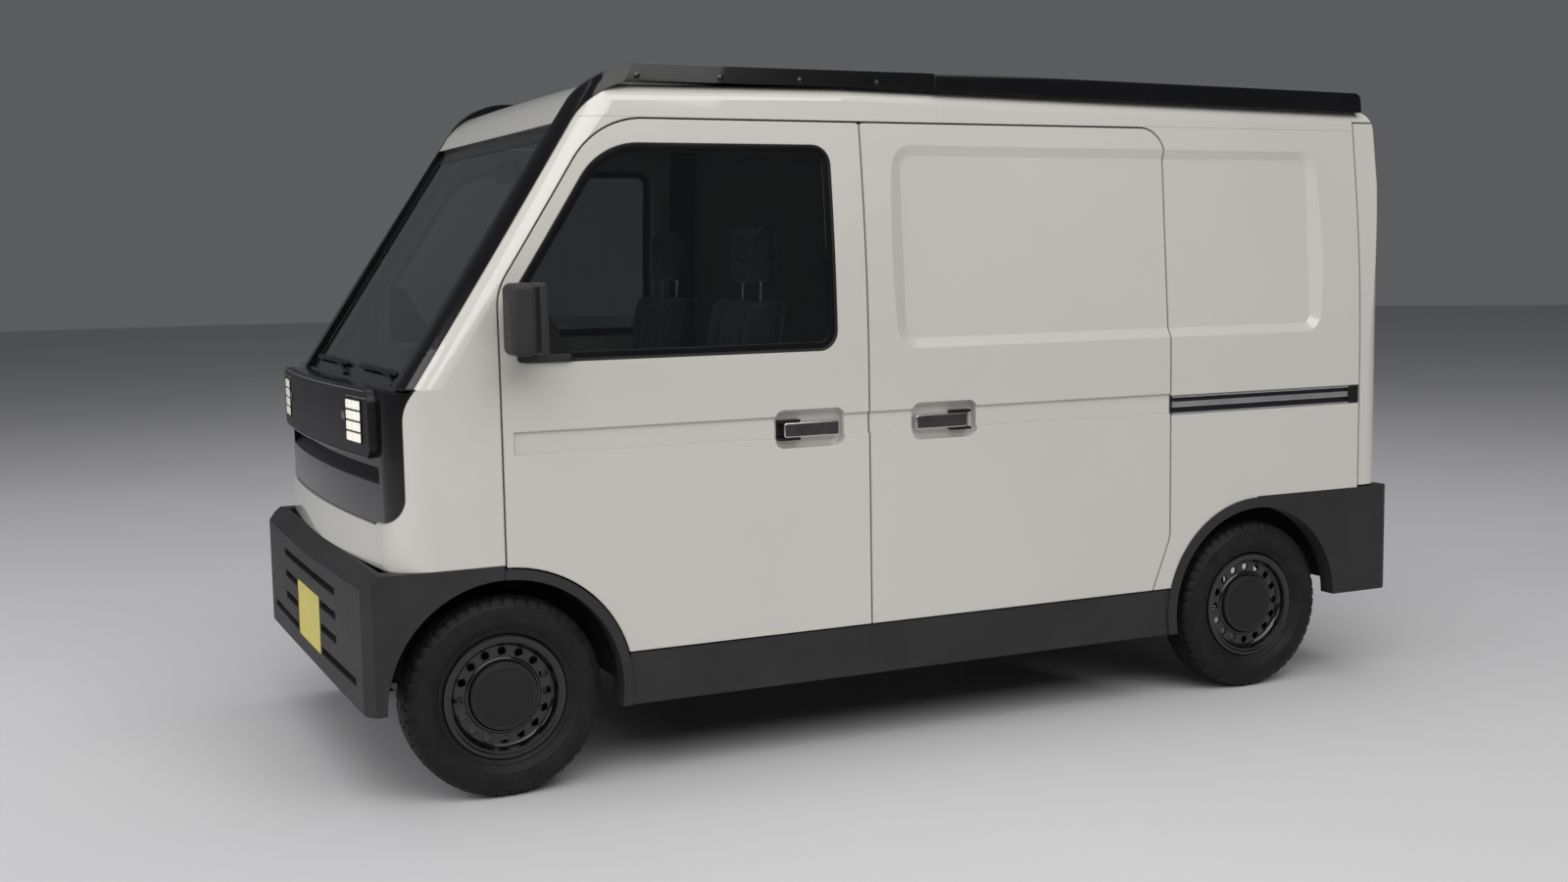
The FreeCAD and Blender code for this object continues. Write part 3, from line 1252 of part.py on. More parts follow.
def make_seats():
    """Both seats' cushions, and their backs with headrests on two posts."""
    inner, outer = dim("seat_inner_y"), dim("seat_outer_y")
    low_z = dim("seat_base_z") + FIT
    top_z = dim("cushion_top_z")
    rear = dim("seat_rear_x")
    front = dim("seat_front_x")
    depth = dim("back_thickness")
    round_edge = depth * HALF * HALF
    cushion = prism("xz", [(rear, low_z, round_edge), (front, low_z, round_edge), (front, top_z, round_edge),
                           (rear, top_z, 0.0)], inner, outer)
    keep("seat_cushions", both_sides(cushion))
    half = depth * HALF
    back_top = dim("back_top_z")
    foot_z = top_z + FIT
    head_x = rear - dim("back_lean")
    back = prism("xz", [(rear - half, foot_z, 0.0), (rear + half, foot_z, round_edge),
                        (head_x + half, back_top, round_edge), (head_x - half, back_top, round_edge)],
                 inner, outer)
    gap = dim("headrest_gap")
    head_low = back_top + gap
    middle = (outer + inner) * HALF
    head_half = dim("headrest_width") * HALF
    head = prism("xz", rectangle(head_x - half, head_x + round_edge, head_low,
                                 head_low + dim("headrest_height"), round_edge),
                 middle - head_half, middle + head_half)
    posts = [Part.makeCylinder(dim("headrest_post"), gap * 2.0,
                               Vector(head_x - round_edge * HALF, middle + head_half * HALF * sign,
                                      back_top - gap * HALF)) for sign in SIDES.values()]
    keep("seat_backs", both_sides(back.fuse(head).fuse(posts)))


def make_dashboard():
    rear = size("dash_rear_x")
    front = size("fire_wall_x") - size("floor_thickness")
    low = size("dash_bottom_z")
    top = size("dash_top_z")
    wall = size("wall")
    corners = [(rear + wall, low), (front, low), (front, top - wall), (rear + wall * 2.0, top),
               (rear, top - wall), (rear, low + wall * 2.0)]
    settle("dashboard", padded_body("dashboard_body", corners, size("dash_half_width") * 2.0))


def finished_shape(name):
    doc.recompute()
    return [piece for piece in finished if piece.Label == name][0].Shape


def wheel_spokes():
    """Three flat spokes, to the left, to the right and down."""
    wide = dim("column_radius")
    thick = dim("wheel_grip")
    spokes = []
    for turn in (90.0, 180.0, 270.0):
        spoke = Part.makeBox(dim("wheel_ring"), wide, thick)
        spoke.translate(Vector(0, -wide * HALF, -thick * HALF))
        spoke.rotate(Vector(0, 0, 0), Vector(0, 0, 1), turn)
        spokes.append(spoke)
    return spokes[0].fuse(spokes[1:])


def make_steering_wheel():
    tilt = math.radians(dim("wheel_tilt"))
    grip = dim("wheel_grip")
    centre = Vector(dim("wheel_x"), dim("wheel_y"), dim("wheel_z"))
    axis = Vector(-math.sin(tilt), 0, math.cos(tilt))
    length = dim("column_length")
    ring = Part.makeTorus(dim("wheel_ring"), grip, centre, axis)
    hub = Part.makeCylinder(dim("wheel_hub"), grip * 2.0, centre - axis * grip, axis)
    shaft = Part.makeCylinder(dim("shaft_radius"), length, centre - axis * length, axis)
    star = wheel_spokes()
    star.rotate(Vector(0, 0, 0), Vector(0, 1, 0), -dim("wheel_tilt"))
    star.translate(centre)
    keep("steering_wheel", ring.fuse(hub).fuse(shaft).fuse(star))
    start = centre - axis * (length + FIT)
    column = Part.makeCylinder(dim("column_radius"), length, start, axis * -1.0)
    short = column.common(block(0.0, dim("dash_rear_x") + WALL, -WIDTH, WIDTH, 0.0, SKY))
    keep("steering_column", short.cut(finished_shape("dashboard")))


# Small pieces on the outside

def make_mirrors():
    """A housing on an arm, with a sail that fills the window's lower front corner."""
    x = dim("mirror_x")
    half = dim("mirror_length") * HALF
    inner = dim("mirror_inner_y")
    corner = dim("mirror_corner")
    low = dim("mirror_low_z")
    housing = prism("xz", rectangle(x - half, x + half, low, dim("mirror_high_z"), corner),
                    inner, inner + dim("mirror_width"))
    front = dim("window_front_x")
    sill = dim("window_bottom_z")
    sail = prism("xz", [(front - dim("sail_length"), sill, 0.0), (front, sill, 0.0),
                        (front, sill + dim("sail_height"), 0.0)],
                 DOOR_INNER_Y, HALF_WIDTH + dim("sail_thickness"))
    arm = block(x - half * (1.0 + HALF), x - half * HALF, DOOR_INNER_Y, inner + half * HALF,
                low + corner, low + corner * 2.0)
    seated = sail.fuse(arm).cut(envelope(dim("glass_depth") - FIT)).cut(door_panel)
    mirror = housing.fuse(seated)
    keep("mirror_left", mirror)
    keep("mirror_right", mirrored(solids_of(mirror)))


def handle_form(pivot_x, front_x):
    """A handle in its pocket: a pivot block at one end, and the bar along it."""
    margin = dim("handle_margin")
    low = dim("handle_bottom_z") + margin
    high = dim("handle_top_z") - margin * 2.0
    face_y = HALF_WIDTH - margin * HALF * HALF
    pivot = block(pivot_x, pivot_x + dim("handle_pivot"), HALF_WIDTH - dim("handle_pocket"),
                  face_y - dim("handle_bar") * HALF, low, high)
    bar = block(front_x - dim("handle_length") + margin, front_x - margin, face_y - dim("handle_bar"), face_y,
                low, high)
    return pivot.fuse(bar)


def make_handles():
    margin = dim("handle_margin")
    door_x = dim("handle_front_x")
    handle = handle_form(door_x - margin - dim("handle_pivot"), door_x)
    keep("door_handle_left", handle)
    keep("door_handle_right", mirrored(handle))
    slide_x = dim("slide_handle_front_x")
    keep("slide_handles", both_sides(handle_form(slide_x - dim("handle_length") + margin, slide_x)))


def make_slide_rails():
    """The rails in the quarters that the sliding doors run on."""
    keep("slide_rails", both_sides(block(TAILGATE_X + SEAM, dim("slide_rear_x") - SEAM,
                                         HALF_WIDTH - dim("rail_slot_depth"), HALF_WIDTH + FIT,
                                         dim("rail_slot_bottom_z") + FIT, dim("rail_slot_top_z") - FIT)))


def make_plates():
    keep("number_plates", plate_space(1.0).fuse(plate_space(-1.0)))


def make_tail_lamps():
    """Upright lamps on the tailgate's corners."""
    wide = dim("tail_lamp_width")
    lamp = prism("yz", rectangle(HALF_WIDTH - wide * 2.0, HALF_WIDTH - wide, dim("tail_lamp_low_z"),
                                 dim("tail_lamp_high_z"), dim("handle_corner")),
                 -HALF_LENGTH, REAR_X + dim("rear_top_lean"))
    layer = envelope(-dim("tail_lamp_depth")).cut(outer_form)
    keep("tail_lamps", both_sides(lamp.common(layer)))


def make_wipers():
    """Two blades that lie on the windscreen's foot."""
    foot_z = COWL_Z + dim("wiper_rise")
    blades = []
    for start_y in (PILLAR_Y - dim("wiper_inset"), -dim("wiper_gap")):
        blade = Part.makeBox(dim("wiper_thickness"), dim("wiper_length"), dim("wiper_width"))
        blade.translate(Vector(0, -dim("wiper_length"), 0))
        blade.rotate(Vector(0, 0, 0), Vector(0, 1, 0), -math.degrees(SCREEN_ANGLE))
        blade.translate(Vector(screen_x(foot_z, FIT - dim("screen_depth")), start_y, foot_z))
        blades.append(blade)
    keep("wipers", Part.makeCompound(blades))


MAKERS = (
    make_front_panel, make_roof_panel, make_quarters, make_slide_doors, make_doors, make_tailgate,
    make_arches, make_mask, make_lamps, make_windscreen, make_front_bumper, make_rear_bumper, make_sills,
    make_floor, make_hoop, make_wheels, make_battery, make_rear_axle, make_drive_unit, make_knuckles,
    make_seat_bases, make_seats, make_dashboard, make_steering_wheel, make_mirrors, make_handles,
    make_slide_rails, make_plates, make_tail_lamps, make_wipers,
)
for maker in MAKERS:
    maker()

doc.recompute()
for item in doc.Objects:
    if "Invalid" in item.State or "Error" in item.State:
        raise RuntimeError("%s failed: %s" % (item.Name, item.State))
for piece in finished:
    if piece.Shape.isNull() or not piece.Shape.isValid():
        raise RuntimeError("%s has no sound shape" % piece.Label)

os.makedirs("parts", exist_ok=True)
for piece in finished:
    piece.Shape.exportStep("parts/%s.step" % piece.Label)
    box = piece.Shape.BoundBox
    print("%-20s solids %d box %.0f..%.0f %.0f..%.0f %.0f..%.0f" % (
        piece.Label, len(piece.Shape.Solids), box.XMin, box.XMax, box.YMin, box.YMax, box.ZMin, box.ZMax))
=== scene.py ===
"""A small one-box van: paint, glass, cladding, tyres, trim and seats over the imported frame."""
import json
import math
import bmesh
import bpy
from mathutils import Matrix, Vector, noise


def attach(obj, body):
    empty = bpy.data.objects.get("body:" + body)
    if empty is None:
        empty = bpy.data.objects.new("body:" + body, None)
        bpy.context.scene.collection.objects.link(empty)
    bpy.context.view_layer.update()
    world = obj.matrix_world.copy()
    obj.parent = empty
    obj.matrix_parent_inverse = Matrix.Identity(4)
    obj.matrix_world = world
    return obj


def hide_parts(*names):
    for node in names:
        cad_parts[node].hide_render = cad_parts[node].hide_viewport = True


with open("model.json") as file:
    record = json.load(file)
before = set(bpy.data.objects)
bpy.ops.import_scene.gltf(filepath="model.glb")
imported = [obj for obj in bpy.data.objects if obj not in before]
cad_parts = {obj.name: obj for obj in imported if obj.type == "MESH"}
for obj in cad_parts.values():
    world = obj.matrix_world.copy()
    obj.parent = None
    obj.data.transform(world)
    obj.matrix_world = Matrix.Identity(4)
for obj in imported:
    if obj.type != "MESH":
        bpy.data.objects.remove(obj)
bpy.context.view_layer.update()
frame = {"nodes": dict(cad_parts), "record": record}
NODES = frame["nodes"]
MM = 0.001
SIDES = {"left": 1.0, "right": -1.0}

# The photograph's camera, worked out from the van's own size
IMAGE_WIDTH = 1600.0
FOCAL_PIXELS = 1782.66
SENSOR_WIDTH = 36.0
CAMERA_PLACE = Vector((2557.81, 5079.43, 1398.64)) * MM
CAMERA_YAW = math.radians(-115.14)
CAMERA_PITCH = math.radians(-5.96)
CAMERA_ROLL = math.radians(-0.98)


def make_camera():
    forward = Vector((math.cos(CAMERA_YAW) * math.cos(CAMERA_PITCH),
                      math.sin(CAMERA_YAW) * math.cos(CAMERA_PITCH), math.sin(CAMERA_PITCH)))
    level_right = forward.cross(Vector((0.0, 0.0, 1.0))).normalized()
    level_up = level_right.cross(forward)
    right = level_right * math.cos(CAMERA_ROLL) + level_up * math.sin(CAMERA_ROLL)
    up = level_up * math.cos(CAMERA_ROLL) - level_right * math.sin(CAMERA_ROLL)
    data = bpy.data.cameras.new("camera")
    data.sensor_width = SENSOR_WIDTH
    data.lens = SENSOR_WIDTH * FOCAL_PIXELS / IMAGE_WIDTH
    data.clip_end = 200.0
    camera = bpy.data.objects.new("camera", data)
    bpy.context.scene.collection.objects.link(camera)
    camera.matrix_world = Matrix((
        (right.x, up.x, -forward.x, CAMERA_PLACE.x),
        (right.y, up.y, -forward.y, CAMERA_PLACE.y),
        (right.z, up.z, -forward.z, CAMERA_PLACE.z),
        (0.0, 0.0, 0.0, 1.0)))
    bpy.context.scene.camera = camera


# Materials

def new_material(name):
    """A node material with its tree and its shader."""
    material = bpy.data.materials.new(name)
    material.use_nodes = True
    tree = material.node_tree
    return material, tree, tree.nodes["Principled BSDF"]


def set_inputs(shader, **values):
    for key, value in values.items():
        shader.inputs[key.replace("_", " ")].default_value = value


def coordinates(tree):
    return tree.nodes.new("ShaderNodeTexCoord").outputs["Object"]


def noise_node(tree, scale, detail=4.0, roughness=0.55, source=None):
    node = tree.nodes.new("ShaderNodeTexNoise")
    node.inputs["Scale"].default_value = scale
    node.inputs["Detail"].default_value = detail
    node.inputs["Roughness"].default_value = roughness
    tree.links.new(source or coordinates(tree), node.inputs["Vector"])
    return node


def vary_colour(tree, shader, dark, light, scale, detail=3.0):
    """The base colour drifts between two near colours."""
    ramp = tree.nodes.new("ShaderNodeValToRGB")
    ramp.color_ramp.elements[0].position = 0.35
    ramp.color_ramp.elements[0].color = (*dark, 1.0)
    ramp.color_ramp.elements[1].position = 0.68
    ramp.color_ramp.elements[1].color = (*light, 1.0)
    tree.links.new(noise_node(tree, scale, detail).outputs["Fac"], ramp.inputs["Fac"])
    tree.links.new(ramp.outputs["Color"], shader.inputs["Base Color"])


def vary_roughness(tree, shader, low, high, scale):
    spread = tree.nodes.new("ShaderNodeMapRange")
    spread.inputs["To Min"].default_value = low
    spread.inputs["To Max"].default_value = high
    tree.links.new(noise_node(tree, scale).outputs["Fac"], spread.inputs["Value"])
    tree.links.new(spread.outputs["Result"], shader.inputs["Roughness"])


def add_bump(tree, shader, height, distance, strength=1.0, round_edge=0.0):
    """Bump from a height socket, over softly rounded edges."""
    bump = tree.nodes.new("ShaderNodeBump")
    bump.inputs["Strength"].default_value = strength
    bump.inputs["Distance"].default_value = distance
    tree.links.new(height, bump.inputs["Height"])
    if round_edge:
        bevel = tree.nodes.new("ShaderNodeBevel")
        bevel.samples = 4
        bevel.inputs["Radius"].default_value = round_edge
        tree.links.new(bevel.outputs["Normal"], bump.inputs["Normal"])
    tree.links.new(bump.outputs["Normal"], shader.inputs["Normal"])


def paint_material():
    material, tree, shader = new_material("paint_white")
    set_inputs(shader, Roughness=0.32, Coat_Weight=1.0, Coat_Roughness=0.04, Coat_IOR=1.5)
    vary_colour(tree, shader, (0.605, 0.597, 0.553), (0.635, 0.626, 0.580), 1.2)
    vary_roughness(tree, shader, 0.28, 0.36, 6.0)
    add_bump(tree, shader, noise_node(tree, 220.0, 1.0).outputs["Fac"], 0.00002, 0.35, 0.005)
    return material


def gloss_black_material(name="gloss_black", dark=(0.003, 0.003, 0.0035), light=(0.005, 0.005, 0.006),
                         roughness=(0.14, 0.22), coat=0.4):
    material, tree, shader = new_material(name)
    set_inputs(shader, Coat_Weight=coat, Coat_Roughness=0.03, Specular_IOR_Level=0.25)
    vary_colour(tree, shader, dark, light, 3.0)
    vary_roughness(tree, shader, roughness[0], roughness[1], 9.0)
    add_bump(tree, shader, noise_node(tree, 240.0, 1.0).outputs["Fac"], 0.00002, 0.4, 0.004)
    return material


def grained_material(name, dark, light, roughness=(0.5, 0.62), grain=900.0, depth=0.0001):
    """Moulded plastic with a fine leather grain."""
    material, tree, shader = new_material(name)
    set_inputs(shader, Specular_IOR_Level=0.3)
    vary_colour(tree, shader, dark, light, 4.0)
    vary_roughness(tree, shader, roughness[0], roughness[1], 30.0)
    cells = tree.nodes.new("ShaderNodeTexVoronoi")
    cells.inputs["Scale"].default_value = grain
    tree.links.new(coordinates(tree), cells.inputs["Vector"])
    add_bump(tree, shader, cells.outputs["Distance"], depth, 0.5, 0.003)
    return material


def glass_material():
    """Dark tinted glass that still lets the cabin show."""
    material, tree, shader = new_material("glass")
    set_inputs(shader, Roughness=0.0, IOR=1.5, Transmission_Weight=1.0)
    vary_colour(tree, shader, (0.40, 0.43, 0.44), (0.45, 0.48, 0.49), 0.8)
    return material


def lens_material():
    """A lit warm-white lamp cell with a faint prism pattern."""
    material, tree, shader = new_material("lens")
    set_inputs(shader, Roughness=0.15, Emission_Strength=0.6, Coat_Weight=1.0)
    shader.inputs["Emission Color"].default_value = (1.0, 0.94, 0.82, 1.0)
    vary_colour(tree, shader, (0.80, 0.76, 0.66), (0.95, 0.92, 0.84), 300.0)
    cells = tree.nodes.new("ShaderNodeTexVoronoi")
    cells.inputs["Scale"].default_value = 160.0
    tree.links.new(coordinates(tree), cells.inputs["Vector"])
    add_bump(tree, shader, cells.outputs["Distance"], 0.001, 0.6)
    return material


def tail_lens_material():
    material, tree, shader = new_material("tail_lens")
    set_inputs(shader, Roughness=0.12, Coat_Weight=1.0)
    vary_colour(tree, shader, (0.20, 0.003, 0.003), (0.32, 0.006, 0.005), 120.0)
    ribs = tree.nodes.new("ShaderNodeTexWave")
    ribs.inputs["Scale"].default_value = 60.0
    ribs.bands_direction = "Z"
    tree.links.new(coordinates(tree), ribs.inputs["Vector"])
    add_bump(tree, shader, ribs.outputs["Fac"], 0.001, 0.5)
    return material


def brushed_material(name, dark, light, roughness):
    """Metal brushed along the van's length."""
    material, tree, shader = new_material(name)
    set_inputs(shader, Metallic=1.0)
    vary_colour(tree, shader, dark, light, 20.0)
    stretch = tree.nodes.new("ShaderNodeMapping")
    stretch.inputs["Scale"].default_value = (3.0, 400.0, 400.0)
    tree.links.new(coordinates(tree), stretch.inputs["Vector"])
    lines = noise_node(tree, 2.0, 5.0, 0.6, stretch.outputs["Vector"])
    spread = tree.nodes.new("ShaderNodeMapRange")
    spread.inputs["To Min"].default_value = roughness[0]
    spread.inputs["To Max"].default_value = roughness[1]
    tree.links.new(lines.outputs["Fac"], spread.inputs["Value"])
    tree.links.new(spread.outputs["Result"], shader.inputs["Roughness"])
    add_bump(tree, shader, lines.outputs["Fac"], 0.00005, 0.4, 0.0015)
    return material


def plate_material():
    material, tree, shader = new_material("plate_yellow")
    set_inputs(shader, Roughness=0.38, Coat_Weight=0.3)
    vary_colour(tree, shader, (0.72, 0.60, 0.022), (0.78, 0.66, 0.03), 12.0)
    add_bump(tree, shader, noise_node(tree, 90.0, 2.0).outputs["Fac"], 0.0001, 0.3, 0.002)
    return material


def tyre_material():
    material, tree, shader = new_material("tyre")
    set_inputs(shader, Specular_IOR_Level=0.3)
    vary_colour(tree, shader, (0.005, 0.005, 0.0055), (0.011, 0.011, 0.0115), 18.0)
    vary_roughness(tree, shader, 0.5, 0.75, 40.0)
    add_bump(tree, shader, noise_node(tree, 600.0, 3.0).outputs["Fac"], 0.0002, 0.5)
    return material


def cloth_material():
    """Dark woven seat cloth with a sheen."""
    material, tree, shader = new_material("seat_fabric")
    set_inputs(shader, Roughness=0.9, Sheen_Weight=0.5, Sheen_Roughness=0.4)
    vary_colour(tree, shader, (0.045, 0.047, 0.052), (0.075, 0.077, 0.082), 260.0)
    source = coordinates(tree)
    threads = []
    for direction in ("X", "Y"):
        wave = tree.nodes.new("ShaderNodeTexWave")
        wave.inputs["Scale"].default_value = 220.0
        wave.bands_direction = direction
        tree.links.new(source, wave.inputs["Vector"])
        threads.append(wave.outputs["Fac"])
    crossing = tree.nodes.new("ShaderNodeMath")
    crossing.operation = "MULTIPLY"
    tree.links.new(threads[0], crossing.inputs[0])
    tree.links.new(threads[1], crossing.inputs[1])
    add_bump(tree, shader, crossing.outputs["Value"], 0.0005, 0.6)
    return material


MATERIALS = {
    "paint_white": paint_material(),
    "gloss_black": gloss_black_material(),
    "lamp_black": grained_material("lamp_black", (0.006, 0.006, 0.007), (0.010, 0.010, 0.011), (0.30, 0.40)),
    "cladding": grained_material("cladding", (0.024, 0.0243, 0.0255), (0.032, 0.0323, 0.034)),
    "glass": glass_material(),
    "lens": lens_material(),
    "tail_lens": tail_lens_material(),
    "rail_metal": brushed_material("rail_metal", (0.62, 0.62, 0.63), (0.74, 0.74, 0.75), (0.12, 0.22)),
    "plate_yellow": plate_material(),
    "tyre": tyre_material(),
    "rim_black": gloss_black_material("rim_black", (0.002, 0.002, 0.0022), (0.004, 0.004, 0.0045),
                                      (0.16, 0.24), 0.9),
    "steel": grained_material("steel", (0.008, 0.008, 0.009), (0.016, 0.016, 0.017),
                              (0.45, 0.6), 120.0, 0.0003),
    "floor_mat": grained_material("floor_mat", (0.01, 0.01, 0.012), (0.02, 0.02, 0.022), (0.75, 0.9), 300.0),
    "seat_fabric": cloth_material(),
    "trim": grained_material("trim", (0.010, 0.010, 0.011), (0.018, 0.018, 0.019)),
}
RUBBER = grained_material("seal_rubber", (0.005, 0.005, 0.0055), (0.009, 0.009, 0.0095), (0.42, 0.55), 700.0)
CAP_BLACK = grained_material("cap_black", (0.012, 0.012, 0.0122), (0.016, 0.016, 0.0163), (0.45, 0.55),
                             depth=0.00006)
HANDLE_FACE = brushed_material("handle_face", (0.085, 0.078, 0.080), (0.12, 0.11, 0.112), (0.32, 0.45))
MIRROR_GLASS = brushed_material("mirror_glass", (0.80, 0.81, 0.82), (0.86, 0.87, 0.88), (0.02, 0.05))


def dress_nodes():
    """Each CAD node gets the material of its slot."""
    for part in frame["record"]["subparts"]:
        node = NODES[part["node"]]
        node.data.materials.clear()
        node.data.materials.append(MATERIALS[part["material_slot"]])


# The body's surfaces, repeated from the part in millimetres

HALF_WIDTH = 737.5
SIDE_BEND_Z = 1350.0
SIDE_BEND_RADIUS = 5200.0
SIDE_ANGLE = math.atan(55.5 / 522.0)
COWL_X = 1566.0
COWL_Z = 1085.0
SCREEN_LEAN = 0.664
SCREEN_ANGLE = math.atan(SCREEN_LEAN)
SCREEN_DEPTH = 14.0
NOSE_X = 1648.0
NOSE_RADIUS = 6241.0
NOSE_ARC_Y = 594.6
NOSE_END_SLOPE = 0.0957


def side_y(z):
    """The outer side's place at a height."""
    reach = SIDE_BEND_RADIUS * math.tan(SIDE_ANGLE / 2.0)
    start = SIDE_BEND_Z - reach
    if z <= start:
        return HALF_WIDTH
    if z >= SIDE_BEND_Z + reach * math.cos(SIDE_ANGLE):
        return HALF_WIDTH - (z - SIDE_BEND_Z) * math.tan(SIDE_ANGLE)
    return HALF_WIDTH - SIDE_BEND_RADIUS + math.sqrt(SIDE_BEND_RADIUS ** 2 - (z - start) ** 2)


def screen_x(z):
    return COWL_X - SCREEN_LEAN * (z - COWL_Z)


def nose_x(y):
    """The nose's place ahead at a distance from the van's middle."""
    inner = min(abs(y), NOSE_ARC_Y)
    bowed = NOSE_X - NOSE_RADIUS + math.sqrt(NOSE_RADIUS ** 2 - inner ** 2)
    return bowed - (abs(y) - inner) * NOSE_END_SLOPE


def mirrored(places, sign):
    """Two places across the van in rising order, mirrored where the sign is the right side's."""
    return sorted(place * sign for place in places)


def beside(y, sign):
    """Turns (x, z, rise) into a point on a plane along the van, on its left or right."""
    return lambda u, v, w: Vector((u, sign * (y + w), v))


def across(x, way=1.0):
    """Turns (y, z, rise) into a point on a plane across the van, which faces ahead or, at -1, back."""
    return lambda u, v, w: Vector((x + way * w, u, v))


def on_side(sign):
    """Turns (x, z, rise) into a point over the van's curved side, on its left or right."""
    return lambda u, v, w: Vector((u, sign * (side_y(v) + w), v))


def on_screen(u, v, w):
    """Turns (y, z, rise) into a point over the windscreen."""
    return Vector((screen_x(v) + (w - SCREEN_DEPTH) * math.cos(SCREEN_ANGLE), u,
                   v + (w - SCREEN_DEPTH) * math.sin(SCREEN_ANGLE)))


def on_nose(u, v, w):
    """Turns (y, z, rise) into a point ahead of the nose."""
    return Vector((nose_x(u) + w, u, v))


# Mesh helpers

def finish_piece(obj, material, body, edge=0.0, sharp=35.0, segments=2):
    """Gives a new mesh object its finish, soft shading, edge rounding and body."""
    obj.data.materials.append(material)
    for polygon in obj.data.polygons:
        polygon.use_smooth = True
    obj.data.set_sharp_from_angle(angle=math.radians(sharp))
    if edge:
        bevel = obj.modifiers.new("edges", "BEVEL")
        bevel.width = edge * MM
        bevel.segments = segments
        bevel.limit_method = "ANGLE"
        bevel.angle_limit = math.radians(40.0)
    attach(obj, body)
    return obj


def mesh_object(name, points, faces):
    """A mesh object from points in millimetres, with its faces turned outward."""
    mesh = bpy.data.meshes.new(name)
    mesh.from_pydata([tuple(Vector(point) * MM) for point in points], [], faces)
    form = bmesh.new()
    form.from_mesh(mesh)
    bmesh.ops.remove_doubles(form, verts=form.verts, dist=0.02 * MM)
    bmesh.ops.recalc_face_normals(form, faces=form.faces)
    form.to_mesh(mesh)
    form.free()
    obj = bpy.data.objects.new(name, mesh)
    bpy.context.scene.collection.objects.link(obj)
    return obj


def moved_corners(corners, inset):
    """A counter-clockwise outline's corners moved inward by an inset."""
    moved = []
    count = len(corners)
    for index, (across, up, radius) in enumerate(corners):
        back = corners[index - 1]
        ahead = corners[(index + 1) % count]
        arrive = Vector((across - back[0], up - back[1])).normalized()
        leave = Vector((ahead[0] - across, ahead[1] - up)).normalized()
        normal_in = Vector((-arrive.y, arrive.x))
        normal_out = Vector((-leave.y, leave.x))
        shift = (normal_in + normal_out) * (inset / (1.0 + normal_in.dot(normal_out)))
        moved.append((across + shift.x, up + shift.y, max(radius - inset, 0.5)))
    return moved


def outline_points(corners, inset=0.0, steps=6, longest=60.0):
    """Points round an outline with rounded corners. Insets of one outline give the same number of points."""
    shifted = moved_corners(corners, inset)
    count = len(corners)
    arcs = []
    for index, (across, up, radius) in enumerate(shifted):
        here = Vector((across, up))
        back = (Vector(shifted[index - 1][:2]) - here).normalized()
        ahead = (Vector(shifted[(index + 1) % count][:2]) - here).normalized()
        half_angle = back.angle(ahead) / 2.0
        reach = radius / math.tan(half_angle)
        centre = here + (back + ahead).normalized() * (radius / math.sin(half_angle))
        start = here + back * reach - centre
        end = here + ahead * reach - centre
        turn = start.angle_signed(end)
        arcs.append([centre + Matrix.Rotation(-turn * step / steps, 2) @ start for step in range(steps + 1)])
    points = []
    for index, arc in enumerate(arcs):
        points += arc
        following = arcs[(index + 1) % count][0]
        span = (Vector(corners[(index + 1) % count][:2]) - Vector(corners[index][:2])).length
        pieces = max(1, int(span / longest))
        points += [arc[-1].lerp(following, piece / pieces) for piece in range(1, pieces)]
    return points


def slab_piece(name, corners, place, low, high, longest=60.0):
    """A closed slab: an outline between two rises over a surface."""
    ring = outline_points(corners, longest=longest)
    count = len(ring)
    points = [place(p.x, p.y, low) for p in ring] + [place(p.x, p.y, high) for p in ring]
    faces = [tuple(range(count - 1, -1, -1)), tuple(range(count, 2 * count))]
    for index in range(count):
        ahead = (index + 1) % count
        faces.append((index, ahead, count + ahead, count + index))
    return mesh_object(name, points, faces)


def ring_piece(name, corners, place, profile, steps=6):
    """A closed ring round an outline. The profile gives pairs of inset and rise, all round its section."""
    rings = [outline_points(corners, inset, steps) for inset, rise in profile]
    count = len(rings[0])
    points = []
    for ring, (inset, rise) in zip(rings, profile):
        points += [place(p.x, p.y, rise) for p in ring]
    faces = []
    for row in range(len(profile)):
        above = (row + 1) % len(profile)
        for index in range(count):
            ahead = (index + 1) % count
            faces.append((row * count + index, row * count + ahead,
                          above * count + ahead, above * count + index))
    return mesh_object(name, points, faces)


def rectangle(low_across, high_across, low_up, high_up, radius):
    """A rectangle's corners with one radius, as the outline helpers take them."""
    return [(low_across, low_up, radius), (high_across, low_up, radius),
            (high_across, high_up, radius), (low_across, high_up, radius)]


def lathe_piece(name, profile, centre, sign=1.0, segments=96, bumps=None):
    """A turned piece about a line across the van. The profile gives pairs of radius and place outward."""
    points = []
    for segment in range(segments):
        angle = 2.0 * math.pi * segment / segments
        for index, (radius, along) in enumerate(profile):
            reach = radius - (bumps(segment, index) if bumps else 0.0)
            points.append((centre[0] + reach * math.cos(angle), centre[1] + sign * along,
                           centre[2] + reach * math.sin(angle)))
    rows = len(profile)
    faces = []
    for segment in range(segments):
        ahead = (segment + 1) % segments
        for index in range(rows - 1):
            faces.append((segment * rows + index, ahead * rows + index,
                          ahead * rows + index + 1, segment * rows + index + 1))
    return mesh_object(name, points, faces)


